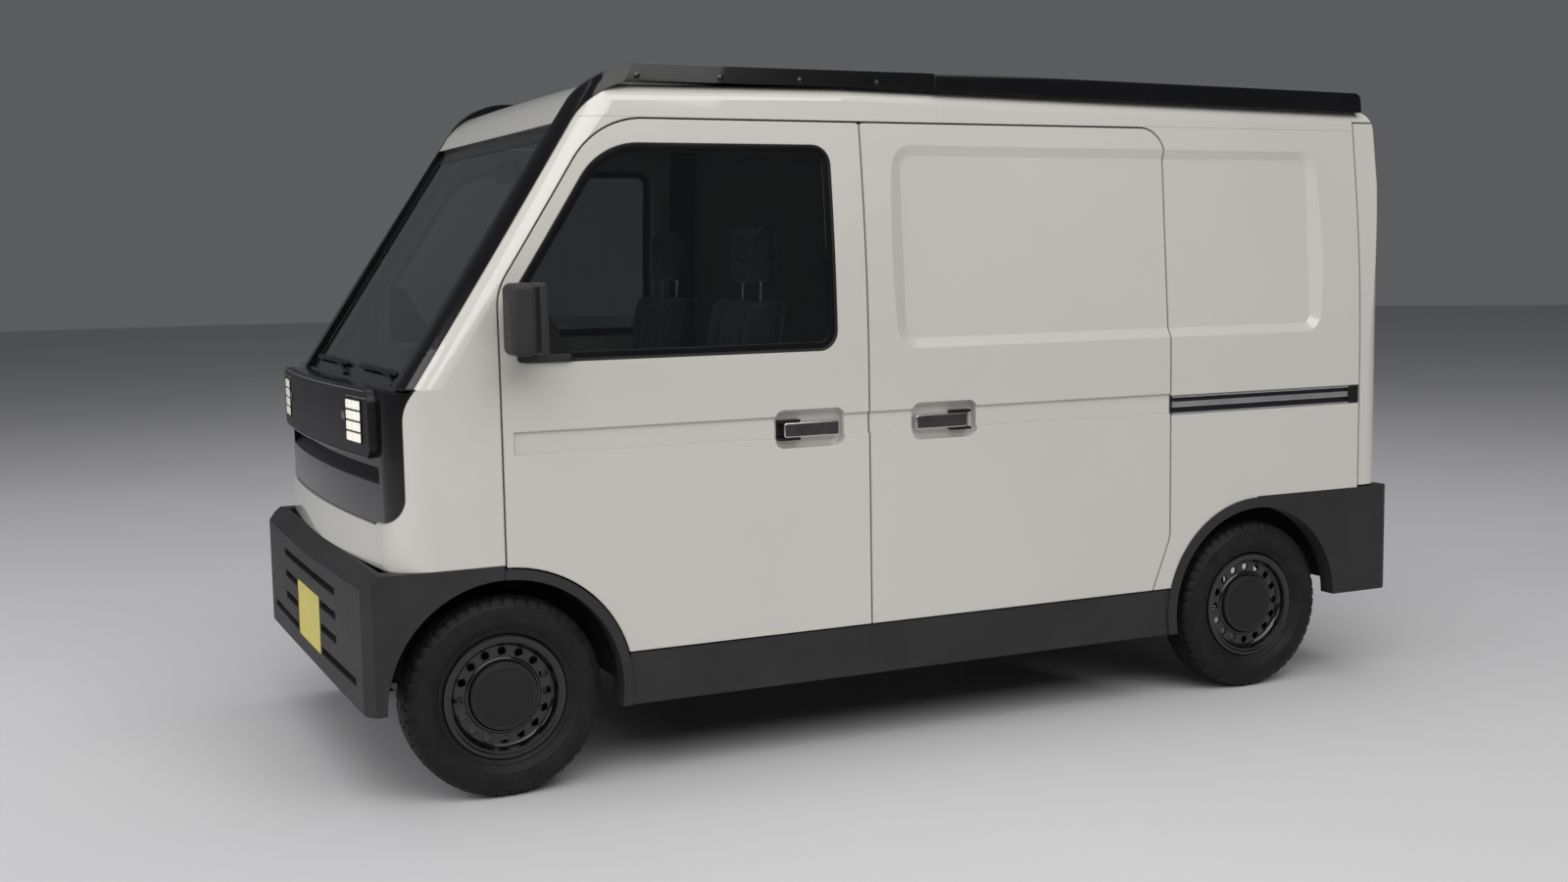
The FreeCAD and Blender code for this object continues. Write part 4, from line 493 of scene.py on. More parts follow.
def tube_piece(name, points, radius, sides=10, closed=False):
    """A round tube along points in millimetres, with closed ends."""
    path = [Vector(point) for point in points]
    count = len(path)
    rings = []
    side = None
    for index, point in enumerate(path):
        before = path[index - 1] if index or closed else path[index]
        after = path[(index + 1) % count] if index + 1 < count or closed else path[index]
        along = (after - before).normalized()
        side = along.orthogonal() if side is None else side - along * side.dot(along)
        side.normalize()
        other = along.cross(side)
        rings.append([point + side * radius * math.cos(2.0 * math.pi * step / sides)
                      + other * radius * math.sin(2.0 * math.pi * step / sides) for step in range(sides)])
    verts = [corner for ring in rings for corner in ring]
    faces = []
    for index in range(count if closed else count - 1):
        ahead = (index + 1) % count
        for step in range(sides):
            beside = (step + 1) % sides
            faces.append((index * sides + step, index * sides + beside,
                          ahead * sides + beside, ahead * sides + step))
    if not closed:
        faces.append(tuple(range(sides)))
        faces.append(tuple(range((count - 1) * sides, count * sides)))
    return mesh_object(name, verts, faces)


# Wheels

FRONT_AXLE = 1322.0
REAR_AXLE = -1139.0
TRACK = 650.0
TYRE_RADIUS = 268.0
LUG_DEPTH = 4.5
RIB_DEPTH = 3.5
HOLE_COUNT = 16
HOLE_CIRCLE = 119.0
HOLE_RADIUS = 12.2
HOLE_FACE = 29.2


def tyre_profile():
    """The tyre's outer side from bead to bead, with raised rings on its walls and grooves in its tread."""
    wall = [(153.0, 44.4), (166.0, 45.2), (168.5, 50.0), (172.0, 53.5), (176.0, 54.8), (178.0, 56.6),
            (182.0, 57.2), (184.0, 60.0), (192.0, 65.0), (200.0, 68.4), (201.0, 69.4), (204.0, 69.6),
            (205.0, 68.9), (214.0, 71.0), (222.0, 71.9), (230.0, 71.6), (236.0, 70.4), (237.0, 71.2),
            (240.0, 70.6), (241.0, 69.2), (246.0, 66.8), (251.0, 63.8), (252.0, 64.4), (258.0, 60.0),
            (262.5, 54.6), (265.2, 48.5)]
    tread = [(266.2, 43.0), (259.0, 42.4), (259.0, 37.4), (266.7, 36.8), (267.3, 18.0), (260.0, 17.4),
             (260.0, 12.4), (267.7, 11.8), (268.0, 0.0)]
    half = wall + tread
    return half + [(radius, -along) for radius, along in half[-2::-1]]


def make_tyre(tag, centre, sign, body):
    """A tyre whose shoulders and outer ribs are cut across by narrow grooves."""
    profile = tyre_profile()
    shoulder = [index for index, (radius, along) in enumerate(profile)
                if abs(along) > 42.5 and radius > 250.0]
    rib = [index for index, (radius, along) in enumerate(profile)
           if radius > 266.5 and 17.5 < abs(along) < 37.0]

    def lugs(segment, index):
        if index in shoulder and segment % 5 == 0:
            return LUG_DEPTH
        if index in rib and segment % 8 == 0:
            return RIB_DEPTH
        return 0.0

    tyre = lathe_piece("tyre_" + tag + "_tread", profile, centre, sign, 240, lugs)
    finish_piece(tyre, MATERIALS["tyre"], body, sharp=30.0)
    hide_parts("tyre_" + tag)


def make_hole_edges(tag, centre, sign, body):
    """The rolled edges of the holes in the pressed wheel."""
    sides, corners = 20, 6
    form = bmesh.new()
    for hole in range(HOLE_COUNT):
        angle = 2.0 * math.pi * hole / HOLE_COUNT
        middle = Vector((centre[0] + HOLE_CIRCLE * math.cos(angle), centre[1] + sign * HOLE_FACE,
                         centre[2] + HOLE_CIRCLE * math.sin(angle)))
        grid = []
        for step in range(sides):
            turn = 2.0 * math.pi * step / sides
            out = Vector((math.cos(turn), 0.0, math.sin(turn)))
            section = []
            for corner in range(corners):
                roll = 2.0 * math.pi * corner / corners
                rise = Vector((0.0, sign * 1.1 * math.sin(roll), 0.0))
                place = middle + out * (HOLE_RADIUS + 1.5 * math.cos(roll)) + rise
                section.append(form.verts.new(place * MM))
            grid.append(section)
        for step in range(sides):
            near, far = grid[step], grid[(step + 1) % sides]
            for corner in range(corners):
                beyond = (corner + 1) % corners
                form.faces.new((near[corner], far[corner], far[beyond], near[beyond]))
    bmesh.ops.recalc_face_normals(form, faces=form.faces)
    mesh = bpy.data.meshes.new("hole_edges_" + tag)
    form.to_mesh(mesh)
    form.free()
    edges = bpy.data.objects.new("hole_edges_" + tag, mesh)
    bpy.context.scene.collection.objects.link(edges)
    finish_piece(edges, MATERIALS["rim_black"], body, sharp=60.0)


def make_rim_trim(tag, centre, sign, body):
    """The flat cap, the stepped rings of the pressed wheel, its holes' edges and the valve."""
    cap = lathe_piece("cap_" + tag, [
        (0.0, 44.6), (30.0, 44.6), (76.0, 44.0), (80.0, 43.6), (81.5, 42.4), (83.0, 43.4), (87.5, 43.2),
        (90.0, 42.2), (91.2, 40.0), (91.6, 30.0)], centre, sign)
    finish_piece(cap, CAP_BLACK, body)
    rings = [
        ("step", [(91.9, 29.8), (94.0, 32.6), (97.5, 33.6), (101.0, 32.2), (103.5, 29.4), (97.5, 29.2)]),
        ("dish", [(133.0, 29.2), (137.5, 32.5), (141.0, 38.0), (143.5, 46.0), (145.0, 50.6), (145.4, 29.3)]),
        ("lip", [(150.5, 52.1), (155.0, 53.6), (160.5, 53.9), (164.6, 53.0), (165.6, 50.6), (165.2, 47.0),
                 (163.8, 51.9), (152.0, 51.9)]),
    ]
    for part, section in rings:
        ring = lathe_piece("rim_%s_%s" % (part, tag), section + section[:1], centre, sign)
        finish_piece(ring, MATERIALS["rim_black"], body, sharp=50.0)
    make_hole_edges(tag, centre, sign, body)
    valve = tube_piece("valve_" + tag, [(centre[0] + 132.0, centre[1] + sign * 30.0, centre[2]),
                                        (centre[0] + 130.0, centre[1] + sign * 38.0, centre[2]),
                                        (centre[0] + 128.0, centre[1] + sign * 46.0, centre[2])], 3.2)
    finish_piece(valve, RUBBER, body, edge=0.8)


def make_wheels():
    for end, axle in (("front", FRONT_AXLE), ("rear", REAR_AXLE)):
        for hand, sign in SIDES.items():
            tag = "%s_%s" % (end, hand)
            centre = (axle, TRACK * sign, TYRE_RADIUS)
            make_tyre(tag, centre, sign, "wheel_" + tag)
            make_rim_trim(tag, centre, sign, "wheel_" + tag)


# Windows

WINDOW = [(348.0, 1142.0, 55.0), (1272.0, 1142.0, 27.5), (1272.0, 1328.97, 55.0),
          (1019.0, 1710.0, 200.0), (348.0, 1710.0, 55.0)]
SCREEN = [(-592.0, 1092.0, 22.0), (592.0, 1092.0, 22.0), (592.0, 1757.0, 40.0), (-592.0, 1757.0, 40.0)]
CABIN_MIRROR_X = 1050.0
GATE_X = -1664.0
GATE_FOOT_Z = 212.0
GATE_RISE = 1663.5
GATE_LEAN = 26.0
GATE_SWEEP = 16.0
TAIL_LAMP_Y = (618.5, 676.5)


def make_door_seals():
    """A rubber seal and a black border round each door's window."""
    for hand, sign in SIDES.items():
        body = "door_" + hand
        seal = ring_piece("window_seal_" + hand, WINDOW, on_side(sign), [
            (0.6, -5.4), (0.6, -0.6), (1.6, 0.4), (5.0, 0.2), (7.5, -1.6), (8.5, -4.4), (8.5, -5.4)])
        finish_piece(seal, RUBBER, body)
        frit = ring_piece("window_border_" + hand, WINDOW, on_side(sign), [
            (8.5, -5.6), (8.5, -3.6), (22.0, -4.4), (25.0, -4.6), (25.8, -5.6)])
        finish_piece(frit, MATERIALS["gloss_black"], body)


def make_screen_trim():
    """The windscreen's black border, and the mirror behind it."""
    border = ring_piece("screen_border", SCREEN, on_screen,
                        [(-6.0, 0.2), (-6.0, 1.2), (26.0, 1.2), (30.0, 0.9), (31.0, 0.2)])
    finish_piece(border, MATERIALS["gloss_black"], "root")
    bend = [(1092.0, 0.0, 1716.0), (1076.0, 0.0, 1700.0), (1062.0, 0.0, 1672.0)]
    stalk = tube_piece("cabin_mirror_stalk", bend, 5.0)
    finish_piece(stalk, MATERIALS["trim"], "root")
    mirror = slab_piece("cabin_mirror", rectangle(-115.0, 115.0, 1634.0, 1694.0, 24.0),
                        across(CABIN_MIRROR_X), 0.0, 16.0)
    finish_piece(mirror, MATERIALS["trim"], "root", edge=5.0)


def on_gate(u, v, w):
    """Turns (y, z, rise) into a point behind the tailgate, which leans and sweeps forward."""
    sweep = GATE_SWEEP * min(1.0, (abs(u) / HALF_WIDTH) ** 2)
    lean = GATE_LEAN * (v - GATE_FOOT_Z) / GATE_RISE
    return Vector((GATE_X + lean + sweep - w, u, v))


def make_gate_trim():
    """The tailgate's window seal, its lamps' frames and bars, and its handle."""
    seal = ring_piece("gate_seal", rectangle(-550.0, 550.0, 1142.0, 1685.0, 55.0), on_gate, [
        (0.6, -5.2), (0.6, -0.8), (2.0, 0.2), (6.0, -0.2), (9.0, -3.6), (24.0, -4.6), (25.0, -5.4)])
    finish_piece(seal, RUBBER, "tailgate")
    for hand, sign in SIDES.items():
        y_low, y_high = mirrored(TAIL_LAMP_Y, sign)
        lamp_frame = ring_piece("tail_frame_" + hand, rectangle(y_low, y_high, 701.0, 1059.0, 12.0), on_gate,
                                [(0.0, -6.0), (0.0, 1.2), (1.2, 2.2), (4.0, 1.8), (5.0, -1.0), (5.0, -6.0)])
        finish_piece(lamp_frame, MATERIALS["gloss_black"], "tailgate")
        for index in range(3):
            low = 790.0 + 90.0 * index
            bar = slab_piece("tail_bar_%s_%d" % (hand, index),
                             rectangle(y_low + 4.0, y_high - 4.0, low, low + 3.0, 1.4), on_gate, -6.0, 1.6)
            finish_piece(bar, MATERIALS["gloss_black"], "tailgate")
    handle = slab_piece("gate_handle", rectangle(-170.0, 170.0, 862.0, 902.0, 14.0), on_gate, -1.0, 9.0)
    finish_piece(handle, MATERIALS["lamp_black"], "tailgate", edge=3.0)


# Handles and mirrors

HANDLE_FACE_Y = HALF_WIDTH - 3.3
HANDLE_LOW = 905.0
HANDLE_HIGH = 946.0
FACE_INSET = 3.2
FORK_ARM = 8.6
FORK_LENGTH = 52.0
FORK_OVERHANG = 15.0
MIRROR_REAR_X = 1232.0


def make_handle(name, front_x, rear_x, pivot_front, sign, body):
    """A thick bar with a bright edge and a brushed face, and the black fork that holds it at one end."""
    place = beside(HANDLE_FACE_Y, sign)
    bar = slab_piece(name + "_bar", rectangle(rear_x, front_x, HANDLE_LOW, HANDLE_HIGH, 7.0),
                     place, -24.0, -1.2)
    finish_piece(bar, MATERIALS["rail_metal"], body, edge=2.4, segments=3)
    inner = rectangle(rear_x + FACE_INSET, front_x - FACE_INSET, HANDLE_LOW + FACE_INSET,
                      HANDLE_HIGH - FACE_INSET, 4.4)
    plate = slab_piece(name + "_face", inner, place, -1.6, -0.2)
    finish_piece(plate, HANDLE_FACE, body, edge=0.5)
    if pivot_front:
        fork_low, fork_high = front_x - FORK_LENGTH, front_x + FORK_OVERHANG
    else:
        fork_low, fork_high = rear_x - FORK_OVERHANG, rear_x + FORK_LENGTH
    top, foot = HANDLE_HIGH + FORK_ARM, HANDLE_LOW - FORK_ARM
    for part, z_low, z_high in (("upper", HANDLE_HIGH + 0.5, top), ("lower", foot, HANDLE_LOW - 0.5)):
        leg = slab_piece("%s_fork_%s" % (name, part), rectangle(fork_low, fork_high, z_low, z_high, 3.5),
                         place, -26.0, -5.0)
        finish_piece(leg, MATERIALS["lamp_black"], body, edge=1.2)
    base = slab_piece(name + "_fork_base", rectangle(fork_low, fork_high, foot, top, 6.0), place, -26.4, -24.6)
    finish_piece(base, MATERIALS["lamp_black"], body, edge=0.6)
    return bar


def make_handles():
    for hand, sign in SIDES.items():
        bar = make_handle("door_grip_" + hand, 516.0, 346.0, True, sign, "door_" + hand)
        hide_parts("door_handle_" + hand)
        bar = make_handle("slide_grip_" + hand, 98.0, -72.0, False, sign, "root")
        if sign > 0.0:
            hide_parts("slide_handles")


def make_mirror(hand, sign):
    """A rounded housing with a groove round it, its glass, its arm and foot, and the window's black sail."""
    body = "door_" + hand
    place = beside(0.0, sign)

    def housing(name, x_low, x_high, shrink, edge, material):
        corner = min(20.0, 0.45 * (x_high - x_low))
        part = slab_piece(name, rectangle(x_low, x_high, 1168.0 + shrink, 1350.0 - shrink, corner), place,
                          802.0 + shrink, 898.0 - shrink, longest=200.0)
        return finish_piece(part, material, body, edge=edge, segments=4)

    shell = housing("mirror_shell_" + hand, 1260.0, 1328.0, 0.0, 17.0, MATERIALS["cladding"])
    housing("mirror_core_" + hand, 1236.0, 1300.0, 5.0, 6.0, MATERIALS["lamp_black"])
    housing("mirror_rear_" + hand, MIRROR_REAR_X, 1256.0, 0.0, 8.0, MATERIALS["cladding"])
    y_low, y_high = mirrored((811.0, 889.0), sign)
    glass = slab_piece("mirror_face_" + hand, rectangle(y_low, y_high, 1178.0, 1340.0, 12.0),
                       across(MIRROR_REAR_X), 0.2, 3.0)
    finish_piece(glass, MIRROR_GLASS, body, edge=0.8)
    arm = slab_piece("mirror_arm_" + hand, rectangle(1204.0, 1262.0, 1186.0, 1212.0, 10.0), place, 739.0, 815.0)
    finish_piece(arm, MATERIALS["lamp_black"], body, edge=4.0, segments=3)
    sail = slab_piece("mirror_sail_" + hand, [
        (1112.0, 1143.5, 5.0), (1271.0, 1143.5, 9.0), (1271.0, 1322.0, 20.0), (1216.0, 1322.0, 16.0)],
        on_side(sign), -5.4, 5.0)
    finish_piece(sail, MATERIALS["lamp_black"], body, edge=2.2, segments=3)
    foot = slab_piece("mirror_foot_" + hand, rectangle(1130.0, 1270.0, 1144.0, 1164.0, 6.0),
                      on_side(sign), 4.0, 12.0)
    finish_piece(foot, MATERIALS["cladding"], body, edge=2.5, segments=3)
    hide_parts("mirror_" + hand)


# Nose, lamps and bumpers

LAMP_LOW = 943.5
LAMP_ROW = 28.2
LAMP_NEAR = 433.0
LAMP_COLUMN = 42.5
CELL_WIDTH = 36.0
CELL_HEIGHT = 23.0
INTAKE_HALF_WIDTH = 619.4
PLATE_X = 1697.5


def make_lamp_cells():
    """Four framed rows of three lit cells on each side, a bright metal strip over them that is a painted
    highlight on the lamp cover's top edge, and a sensor beside.
    """
    for hand, sign in SIDES.items():
        for row in range(4):
            low = LAMP_LOW + LAMP_ROW * row
            for column in range(3):
                near = LAMP_NEAR + LAMP_COLUMN * column
                y_low, y_high = mirrored((near, near + CELL_WIDTH), sign)
                cell = slab_piece("lamp_cell_%s_%d_%d" % (hand, row, column),
                                  rectangle(y_low, y_high, low, low + CELL_HEIGHT, 3.0), on_nose, 14.6, 19.6)
                finish_piece(cell, MATERIALS["lens"], "root", edge=1.2)
                if sign > 0.0 and row == 0 and column == 0:
                    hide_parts("headlamps")
            y_low, y_high = mirrored((429.5, 560.5), sign)
            rim = ring_piece("lamp_frame_%s_%d" % (hand, row),
                             rectangle(y_low, y_high, low - 2.6, low + 25.6, 4.5), on_nose,
                             [(0.0, 14.4), (0.0, 18.0), (1.0, 18.8), (2.6, 18.4), (2.9, 14.4)])
            finish_piece(rim, MATERIALS["gloss_black"], "root")
        # Painted highlight: a thin bright metal strip stands where the lamp cover's top edge catches the light.
        y_low, y_high = mirrored((430.0, 604.0), sign)
        highlight_strip = slab_piece("lamp_highlight_strip_" + hand, rectangle(y_low, y_high, 1060.0, 1063.2, 1.5),
                          on_nose, 14.8, 17.4)
        finish_piece(highlight_strip, MATERIALS["rail_metal"], "root")
        y_low, y_high = mirrored((378.0, 412.0), sign)
        sensor = slab_piece("lamp_sensor_" + hand, rectangle(y_low, y_high, 996.0, 1014.0, 3.0),
                            on_nose, 14.6, 17.6)
        finish_piece(sensor, MATERIALS["rail_metal"], "root", edge=0.8)
        bezel = ring_piece("lamp_sensor_frame_" + hand,
                           rectangle(y_low - 4.0, y_high + 4.0, 992.0, 1018.0, 5.0), on_nose,
                           [(0.0, 14.6), (0.0, 17.0), (1.0, 18.0), (3.4, 17.8), (3.7, 14.6)])
        finish_piece(bezel, MATERIALS["gloss_black"], "root")


def make_nose_trim():
    """The lamp panel's thin frame, and the sloped lip in the air intake under it."""
    panel = rectangle(-619.0, 619.0, 906.0, 1084.0, 39.0)
    panel_edge = ring_piece("panel_edge", panel, on_nose,
                            [(0.3, 11.0), (0.3, 15.6), (2.6, 16.6), (6.0, 15.4), (6.0, 14.4)], steps=10)
    finish_piece(panel_edge, MATERIALS["gloss_black"], "root")
    section = ((-6.6, 842.4), (-35.6, 842.4), (-35.6, 872.0))
    count = 31
    points = []
    for index in range(count):
        y = 2.0 * INTAKE_HALF_WIDTH * index / (count - 1) - INTAKE_HALF_WIDTH
        points += [on_nose(y, z, w) for w, z in section]
    faces = [(0, 1, 2), (3 * count - 1, 3 * count - 2, 3 * count - 3)]
    for index in range(count - 1):
        for side in range(3):
            beyond = (side + 1) % 3
            faces.append((3 * index + side, 3 * index + beyond, 3 * index + 3 + beyond, 3 * index + 3 + side))
    lip = mesh_object("intake_lip", points, faces)
    finish_piece(lip, MATERIALS["lamp_black"], "root")


def make_plates():
    """Blank number plates with a raised border and two bolts, front and rear."""
    outline = rectangle(-165.0, 165.0, 315.0, 480.0, 9.0)
    for name, sign in (("front", 1.0), ("rear", -1.0)):
        place = across(sign * PLATE_X, sign)
        sheet = slab_piece("plate_sheet_" + name, outline, place, -3.6, -1.4)
        finish_piece(sheet, MATERIALS["plate_yellow"], "root", edge=0.6)
        if sign > 0.0:
            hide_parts("number_plates")
        border = ring_piece("plate_border_" + name, outline, place,
                            [(0.2, -3.0), (0.2, -0.8), (1.2, -0.2), (3.6, -0.2), (5.0, -1.3), (5.0, -3.0)])
        finish_piece(border, MATERIALS["plate_yellow"], "root")
        for y in (-105.0, 105.0):
            bolt = slab_piece("plate_bolt_%s_%d" % (name, int(y > 0.0)),
                              rectangle(y - 7.0, y + 7.0, 453.0, 467.0, 6.9), place, -1.6, -0.1)
            finish_piece(bolt, MATERIALS["rail_metal"], "root", edge=0.5)


# Rails

SLIDE_REAR_X = -1549.0
BOLT_COUNT = 11
BOLT_FRONT_X = 905.0
BOLT_SPACING = 240.0
BOLT_RISE = 1.6
RAIL_Z = 1886.0
RAIL_FALL_X = -20.0
RAIL_FALL = 22.0
RAIL_FALL_LENGTH = 1565.0


def make_slide_rails():
    """Bright lips over a black channel, with a black stop at the rear end."""
    lips = (("top", 951.5, 958.2, -0.4), ("middle", 922.0, 940.0, -1.4), ("low", 899.8, 906.5, -0.4))
    for hand, sign in SIDES.items():
        place = beside(HALF_WIDTH, sign)
        channel = slab_piece("slide_channel_" + hand, rectangle(SLIDE_REAR_X, -802.0, 899.6, 958.4, 2.0),
                             place, -13.8, -6.5)
        finish_piece(channel, MATERIALS["lamp_black"], "root", edge=0.8)
        if sign > 0.0:
            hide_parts("slide_rails")
        for part, low, high, rise in lips:
            lip = slab_piece("slide_lip_%s_%s" % (part, hand), rectangle(SLIDE_REAR_X, -803.0, low, high, 2.0),
                             place, -7.0, rise)
            finish_piece(lip, MATERIALS["rail_metal"], "root", edge=1.0)
        stop = slab_piece("slide_stop_" + hand, rectangle(SLIDE_REAR_X, -1506.0, 900.0, 958.0, 6.0),
                          place, -7.0, 0.2)
        finish_piece(stop, MATERIALS["lamp_black"], "root", edge=2.0)


def make_rail_bolts():
    """Low round bolts along the roof rails' outer sides, which fall a little towards the rear."""
    tilt = Matrix.Rotation(SIDE_ANGLE, 3, "X")
    profile = [(0.0, 2.8), (3.2, 2.8), (4.6, 2.2), (5.0, 0.9), (8.6, 0.7), (9.4, -0.4)]
    for hand, sign in SIDES.items():
        for index in range(BOLT_COUNT):
            x = BOLT_FRONT_X - BOLT_SPACING * index
            z = RAIL_Z - max(0.0, RAIL_FALL * (RAIL_FALL_X - x) / RAIL_FALL_LENGTH)
            y = HALF_WIDTH - (z - SIDE_BEND_Z) * math.tan(SIDE_ANGLE) + BOLT_RISE
            bolt = lathe_piece("rail_bolt_%s_%02d" % (hand, index), profile, (0.0, 0.0, 0.0), segments=20)
            for vertex in bolt.data.vertices:
                point = tilt @ vertex.co
                vertex.co = Vector((point.x + x * MM, sign * (point.y + y * MM), point.z + z * MM))
            if sign < 0.0:
                bolt.data.flip_normals()
            finish_piece(bolt, MATERIALS["rim_black"], "root", sharp=40.0)


# Wipers

BLADE_Z = 1121.0
HUB_Z = 1098.0
ELBOW_Z = 1110.0


def make_wipers():
    """Two blades on sprung arms from round caps at the cowl."""
    for index, (hub_y, tip_y) in enumerate(((560.0, 88.0), (-66.0, -535.0))):
        rubber = slab_piece("wiper_blade_%d" % index,
                            rectangle(tip_y, hub_y - 10.0, BLADE_Z - 3.0, BLADE_Z + 3.0, 2.0),
                            on_screen, 0.8, 7.4)
        finish_piece(rubber, RUBBER, "root")
        spine = slab_piece("wiper_spine_%d" % index,
                           rectangle(tip_y + 4.0, hub_y - 14.0, BLADE_Z - 6.5, BLADE_Z + 6.5, 5.0),
                           on_screen, 7.0, 12.0)
        finish_piece(spine, MATERIALS["lamp_black"], "root", edge=1.6)
        if index == 0:
            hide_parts("wipers")
        pivot = on_screen(hub_y, HUB_Z, 8.0)
        elbow = on_screen(hub_y - 70.0, ELBOW_Z, 14.0)
        middle = on_screen(0.55 * tip_y + 0.45 * hub_y, BLADE_Z, 16.0)
        arm = tube_piece("wiper_arm_%d" % index, [pivot, elbow, middle], 3.6)
        finish_piece(arm, MATERIALS["lamp_black"], "root")
        cap_line = [on_screen(hub_y, HUB_Z, -1.0), on_screen(hub_y, HUB_Z, 11.0)]
        knob = tube_piece("wiper_hub_%d" % index, cap_line, 9.0, 20)
        finish_piece(knob, MATERIALS["lamp_black"], "root", edge=2.0)


# The cabin

PAD_CUTS = 25
PAD_SWELL = 9.0
CHANNEL_WIDTH = 6.5
CHANNEL_DEPTH = 8.0
SEAT_Y = 332.5
HEAD_POST_Y = 65.0
DASH_SCREEN_X = 1299.5
DASH_VENT_X = 1299.6


def inflate(pad):
    """Blows a pad up with a short cloth simulation, and caps how far its points move."""
    cloth = pad.modifiers.new("cloth", "CLOTH")
    cloth.settings.use_pressure = True
    cloth.settings.uniform_pressure_force = 4.0
    cloth.settings.effector_weights.gravity = 0.0
    for step in range(1, 21):
        bpy.context.scene.frame_set(step)
    swollen = pad.evaluated_get(bpy.context.evaluated_depsgraph_get()).to_mesh()
    moved = [vertex.co.copy() for vertex in swollen.vertices]
    pad.modifiers.clear()
    bpy.context.scene.frame_set(1)
    for vertex, place in zip(pad.data.vertices, moved):
        shift = place - vertex.co
        if shift.length > PAD_SWELL * MM:
            shift *= PAD_SWELL * MM / shift.length
        vertex.co += shift


def pad_mesh(size, crown, channels, corner=26.0):
    """A crowned pad about its own middle: its faces swell, its sides pull in between its corners and
    sewn channels run along it."""
    bpy.ops.mesh.primitive_cube_add(size=2.0)
    pad = bpy.context.object
    form = bmesh.new()
    form.from_mesh(pad.data)
    bmesh.ops.subdivide_edges(form, edges=form.edges, cuts=PAD_CUTS, use_grid_fill=True)
    half = Vector(size) / 2.0
    core = half - Vector((corner, corner, corner + crown))
    for vertex in form.verts:
        u, v, w = vertex.co
        point = Vector((u * half.x, v * half.y * (1.0 - 0.03 * (1.0 - abs(u)) * (1.0 - w * w)),
                        w * (half.z - crown)))
        nearest = Vector((max(-core.x, min(core.x, point.x)), max(-core.y, min(core.y, point.y)),
                          max(-core.z, min(core.z, point.z))))
        if (point - nearest).length > corner:
            point = nearest + (point - nearest).normalized() * corner
        point.z += crown * w * (1.0 - u ** 4) * (1.0 - v ** 4)
        point += Vector((u, v, w)) * noise.noise(Vector((u * 3.0, v * 3.0, w * 2.0 + size[0] * 0.01))) * 1.6
        vertex.co = point * MM
    form.to_mesh(pad.data)
    form.free()
    inflate(pad)
    widest = [max(abs(vertex.co[axis]) for vertex in pad.data.vertices) for axis in range(3)]
    for vertex in pad.data.vertices:
        for axis in range(3):
            vertex.co[axis] *= half[axis] * MM / widest[axis]
        aside = vertex.co.y / (half.y * MM)
        groove = sum(math.exp(-((aside - line) * half.y / CHANNEL_WIDTH) ** 2) for line in channels)
        if vertex.co.z > 0.3 * half.z * MM:
            vertex.co.z -= CHANNEL_DEPTH * MM * groove
    mesh = pad.data
    bpy.data.objects.remove(pad)
    return mesh


def pad_piece(name, mesh, centre, turn=0.0):
    """A pad's mesh set in its place and turned about the van's width."""
    pad = bpy.data.objects.new(name, mesh.copy())
    bpy.context.scene.collection.objects.link(pad)
    spin = Matrix.Rotation(turn, 3, "Y")
    for vertex in pad.data.vertices:
        vertex.co = spin @ vertex.co + Vector(centre) * MM
    finish_piece(pad, MATERIALS["seat_fabric"], "root", sharp=70.0)
    softer = pad.modifiers.new("softer", "SUBSURF")
    softer.levels = softer.render_levels = 1
    return pad


def piping(name, centre, size, turn):
    """The sewn cord round a pad's middle."""
    spin = Matrix.Rotation(turn, 3, "Y")
    half = Vector(size) / 2.0
    ring = outline_points(rectangle(-half.x, half.x, -half.y, half.y, 26.0), 1.6, longest=30.0)
    line = [spin @ Vector((p.x, p.y, 0.0)) + Vector(centre) for p in ring]
    cord = tube_piece(name, line, 2.4, 8, closed=True)
    finish_piece(cord, MATERIALS["trim"], "root")


def make_seats():
    """Cushions, backs and headrests as sewn pads at the seats' places, and the headrests' posts."""
    lean = math.pi / 2.0 - math.atan2(110.0, 600.0)
    kinds = (("seat_pad", (777.0, 627.0), (452.0, 440.0, 118.0), 15.0, (-0.42, 0.42), 0.0),
             ("back_pad", (490.5, 988.0), (586.0, 436.0, 96.0), 13.0, (-0.4, 0.4), lean),
             ("head_pad", (421.0, 1410.0), (164.0, 252.0, 76.0), 9.0, (), math.pi / 2.0))
    replaced = {"seat_pad": "seat_cushions", "back_pad": "seat_backs"}
    for kind, (x, z), size, crown, channels, turn in kinds:
        mesh = pad_mesh(size, crown, channels)
        for hand, sign in SIDES.items():
            centre = (x, SEAT_Y * sign, z)
            pad = pad_piece("%s_%s" % (kind, hand), mesh, centre, turn)
            piping("%s_piping_%s" % (kind, hand), centre, size, turn)
            if sign > 0.0 and kind in replaced:
                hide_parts(replaced[kind])
    for hand, sign in SIDES.items():
        for index, side in enumerate((-HEAD_POST_Y, HEAD_POST_Y)):
            y = SEAT_Y * sign + side
            post = tube_piece("head_post_%s_%d" % (hand, index), [(428.0, y, 1268.0), (424.0, y, 1340.0)], 5.4)
            finish_piece(post, MATERIALS["rail_metal"], "root")


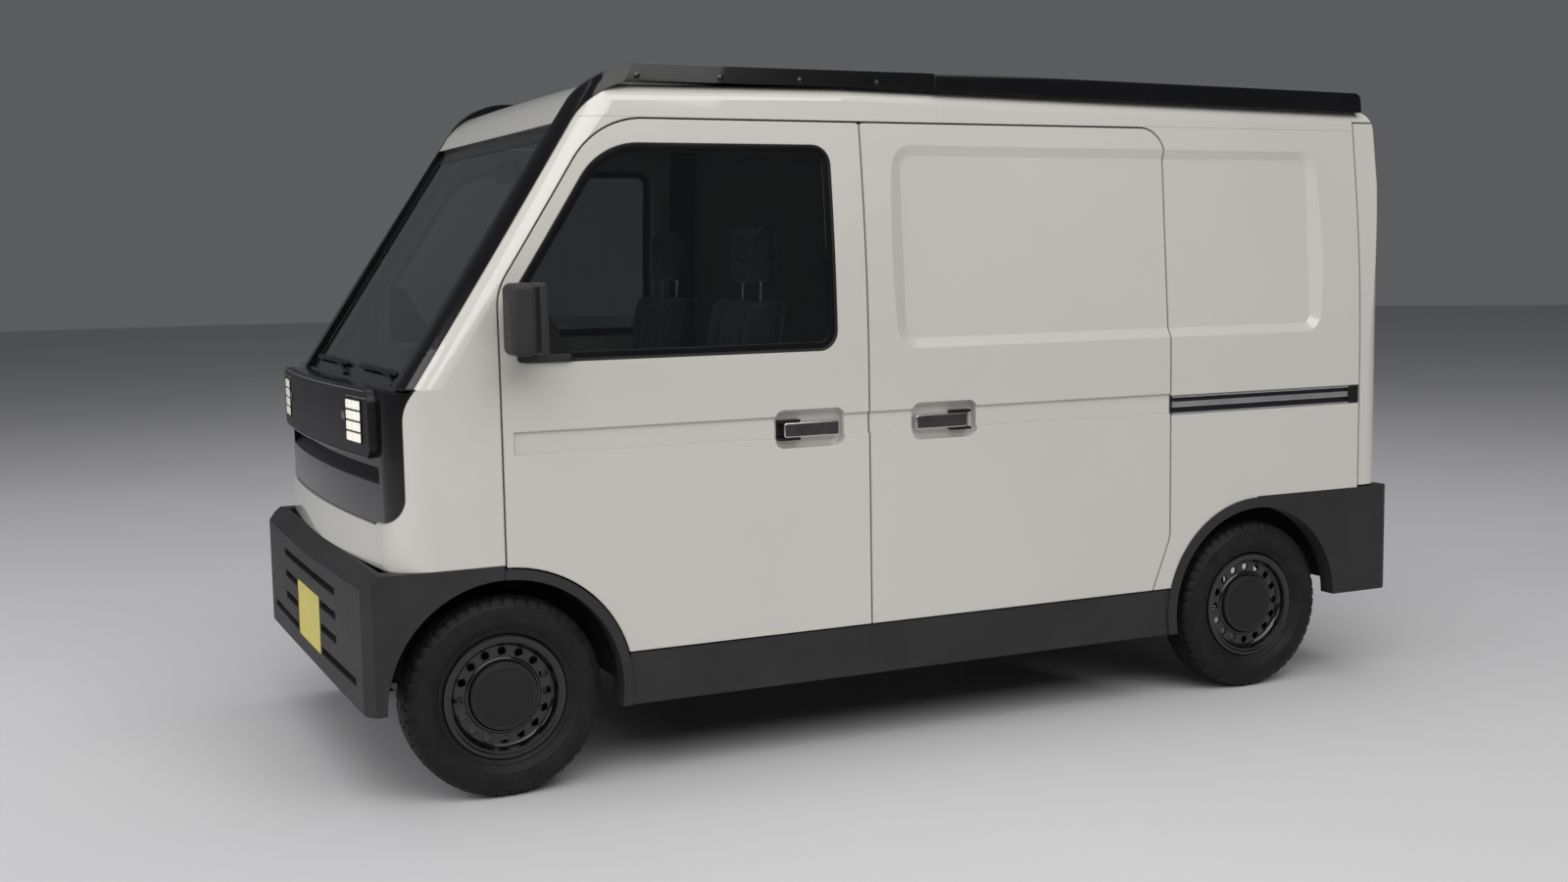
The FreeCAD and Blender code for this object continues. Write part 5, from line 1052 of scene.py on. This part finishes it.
def make_cabin():
    """The dashboard's centre screen, and its four vents with three blades each."""
    screen = slab_piece("dash_screen", rectangle(-125.0, 125.0, 880.0, 1018.0, 8.0),
                        across(DASH_SCREEN_X, -1.0), 0.0, 9.0)
    finish_piece(screen, MATERIALS["gloss_black"], "root", edge=2.0)
    on_dash = across(DASH_VENT_X, -1.0)
    for index, y in enumerate((-560.0, -190.0, 190.0, 560.0)):
        vent = ring_piece("dash_vent_%d" % index, rectangle(y - 42.0, y + 42.0, 940.0, 990.0, 10.0),
                          on_dash, [(0.0, 0.0), (0.0, 5.0), (6.0, 6.0), (8.0, 0.0)])
        finish_piece(vent, MATERIALS["trim"], "root")
        for bar in range(3):
            low = 952.0 + bar * 11.0
            blade = slab_piece("dash_vent_blade_%d_%d" % (index, bar),
                               rectangle(y - 34.0, y + 34.0, low, low + 4.0, 1.6), on_dash, 0.0, 3.5)
            finish_piece(blade, MATERIALS["lamp_black"], "root")


# The stage

BACKDROP = (0.105, 0.108, 0.114, 1.0)


def make_stage():
    bpy.ops.mesh.primitive_circle_add(vertices=96, radius=40.0, fill_type="NGON", location=(0.0, 0.0, 0.0))
    floor = bpy.context.object
    floor.name = "floor"
    material, tree, shader = new_material("floor")
    set_inputs(shader, Roughness=0.6, Specular_IOR_Level=0.2)
    vary_colour(tree, shader, (0.62, 0.62, 0.64), (0.65, 0.65, 0.67), 0.4)
    floor.data.materials.append(material)
    world = bpy.data.worlds.new("world")
    bpy.context.scene.world = world
    world.use_nodes = True
    backdrop = world.node_tree.nodes["Background"]
    backdrop.inputs["Color"].default_value = BACKDROP
    backdrop.inputs["Strength"].default_value = 1.0


def area_lamp(name, place, target, size, power, colour=(1.0, 1.0, 1.0)):
    data = bpy.data.lights.new(name, "AREA")
    data.shape = "RECTANGLE"
    data.size, data.size_y = size
    data.energy = power
    data.color = colour
    lamp = bpy.data.objects.new(name, data)
    lamp.location = place
    lamp.rotation_euler = (Vector(target) - Vector(place)).to_track_quat("-Z", "Y").to_euler()
    bpy.context.scene.collection.objects.link(lamp)


def make_lights():
    area_lamp("key", (1.5, 8.0, 8.5), (0.0, 0.0, 0.6), (13.0, 8.0), 960.0, (1.0, 0.98, 0.95))
    area_lamp("top", (-0.5, -1.0, 8.5), (0.0, 0.0, 0.0), (12.0, 8.0), 300.0)
    area_lamp("front", (9.0, 0.5, 4.5), (0.0, 0.0, 0.8), (7.0, 5.0), 280.0)


bpy.context.scene.view_settings.view_transform = "Standard"
dress_nodes()
make_camera()
make_wheels()
make_door_seals()
make_screen_trim()
make_gate_trim()
make_handles()
for hand, sign in SIDES.items():
    make_mirror(hand, sign)
make_lamp_cells()
make_nose_trim()
make_plates()
make_slide_rails()
make_rail_bolts()
make_wipers()
make_seats()
make_cabin()
make_stage()
make_lights()
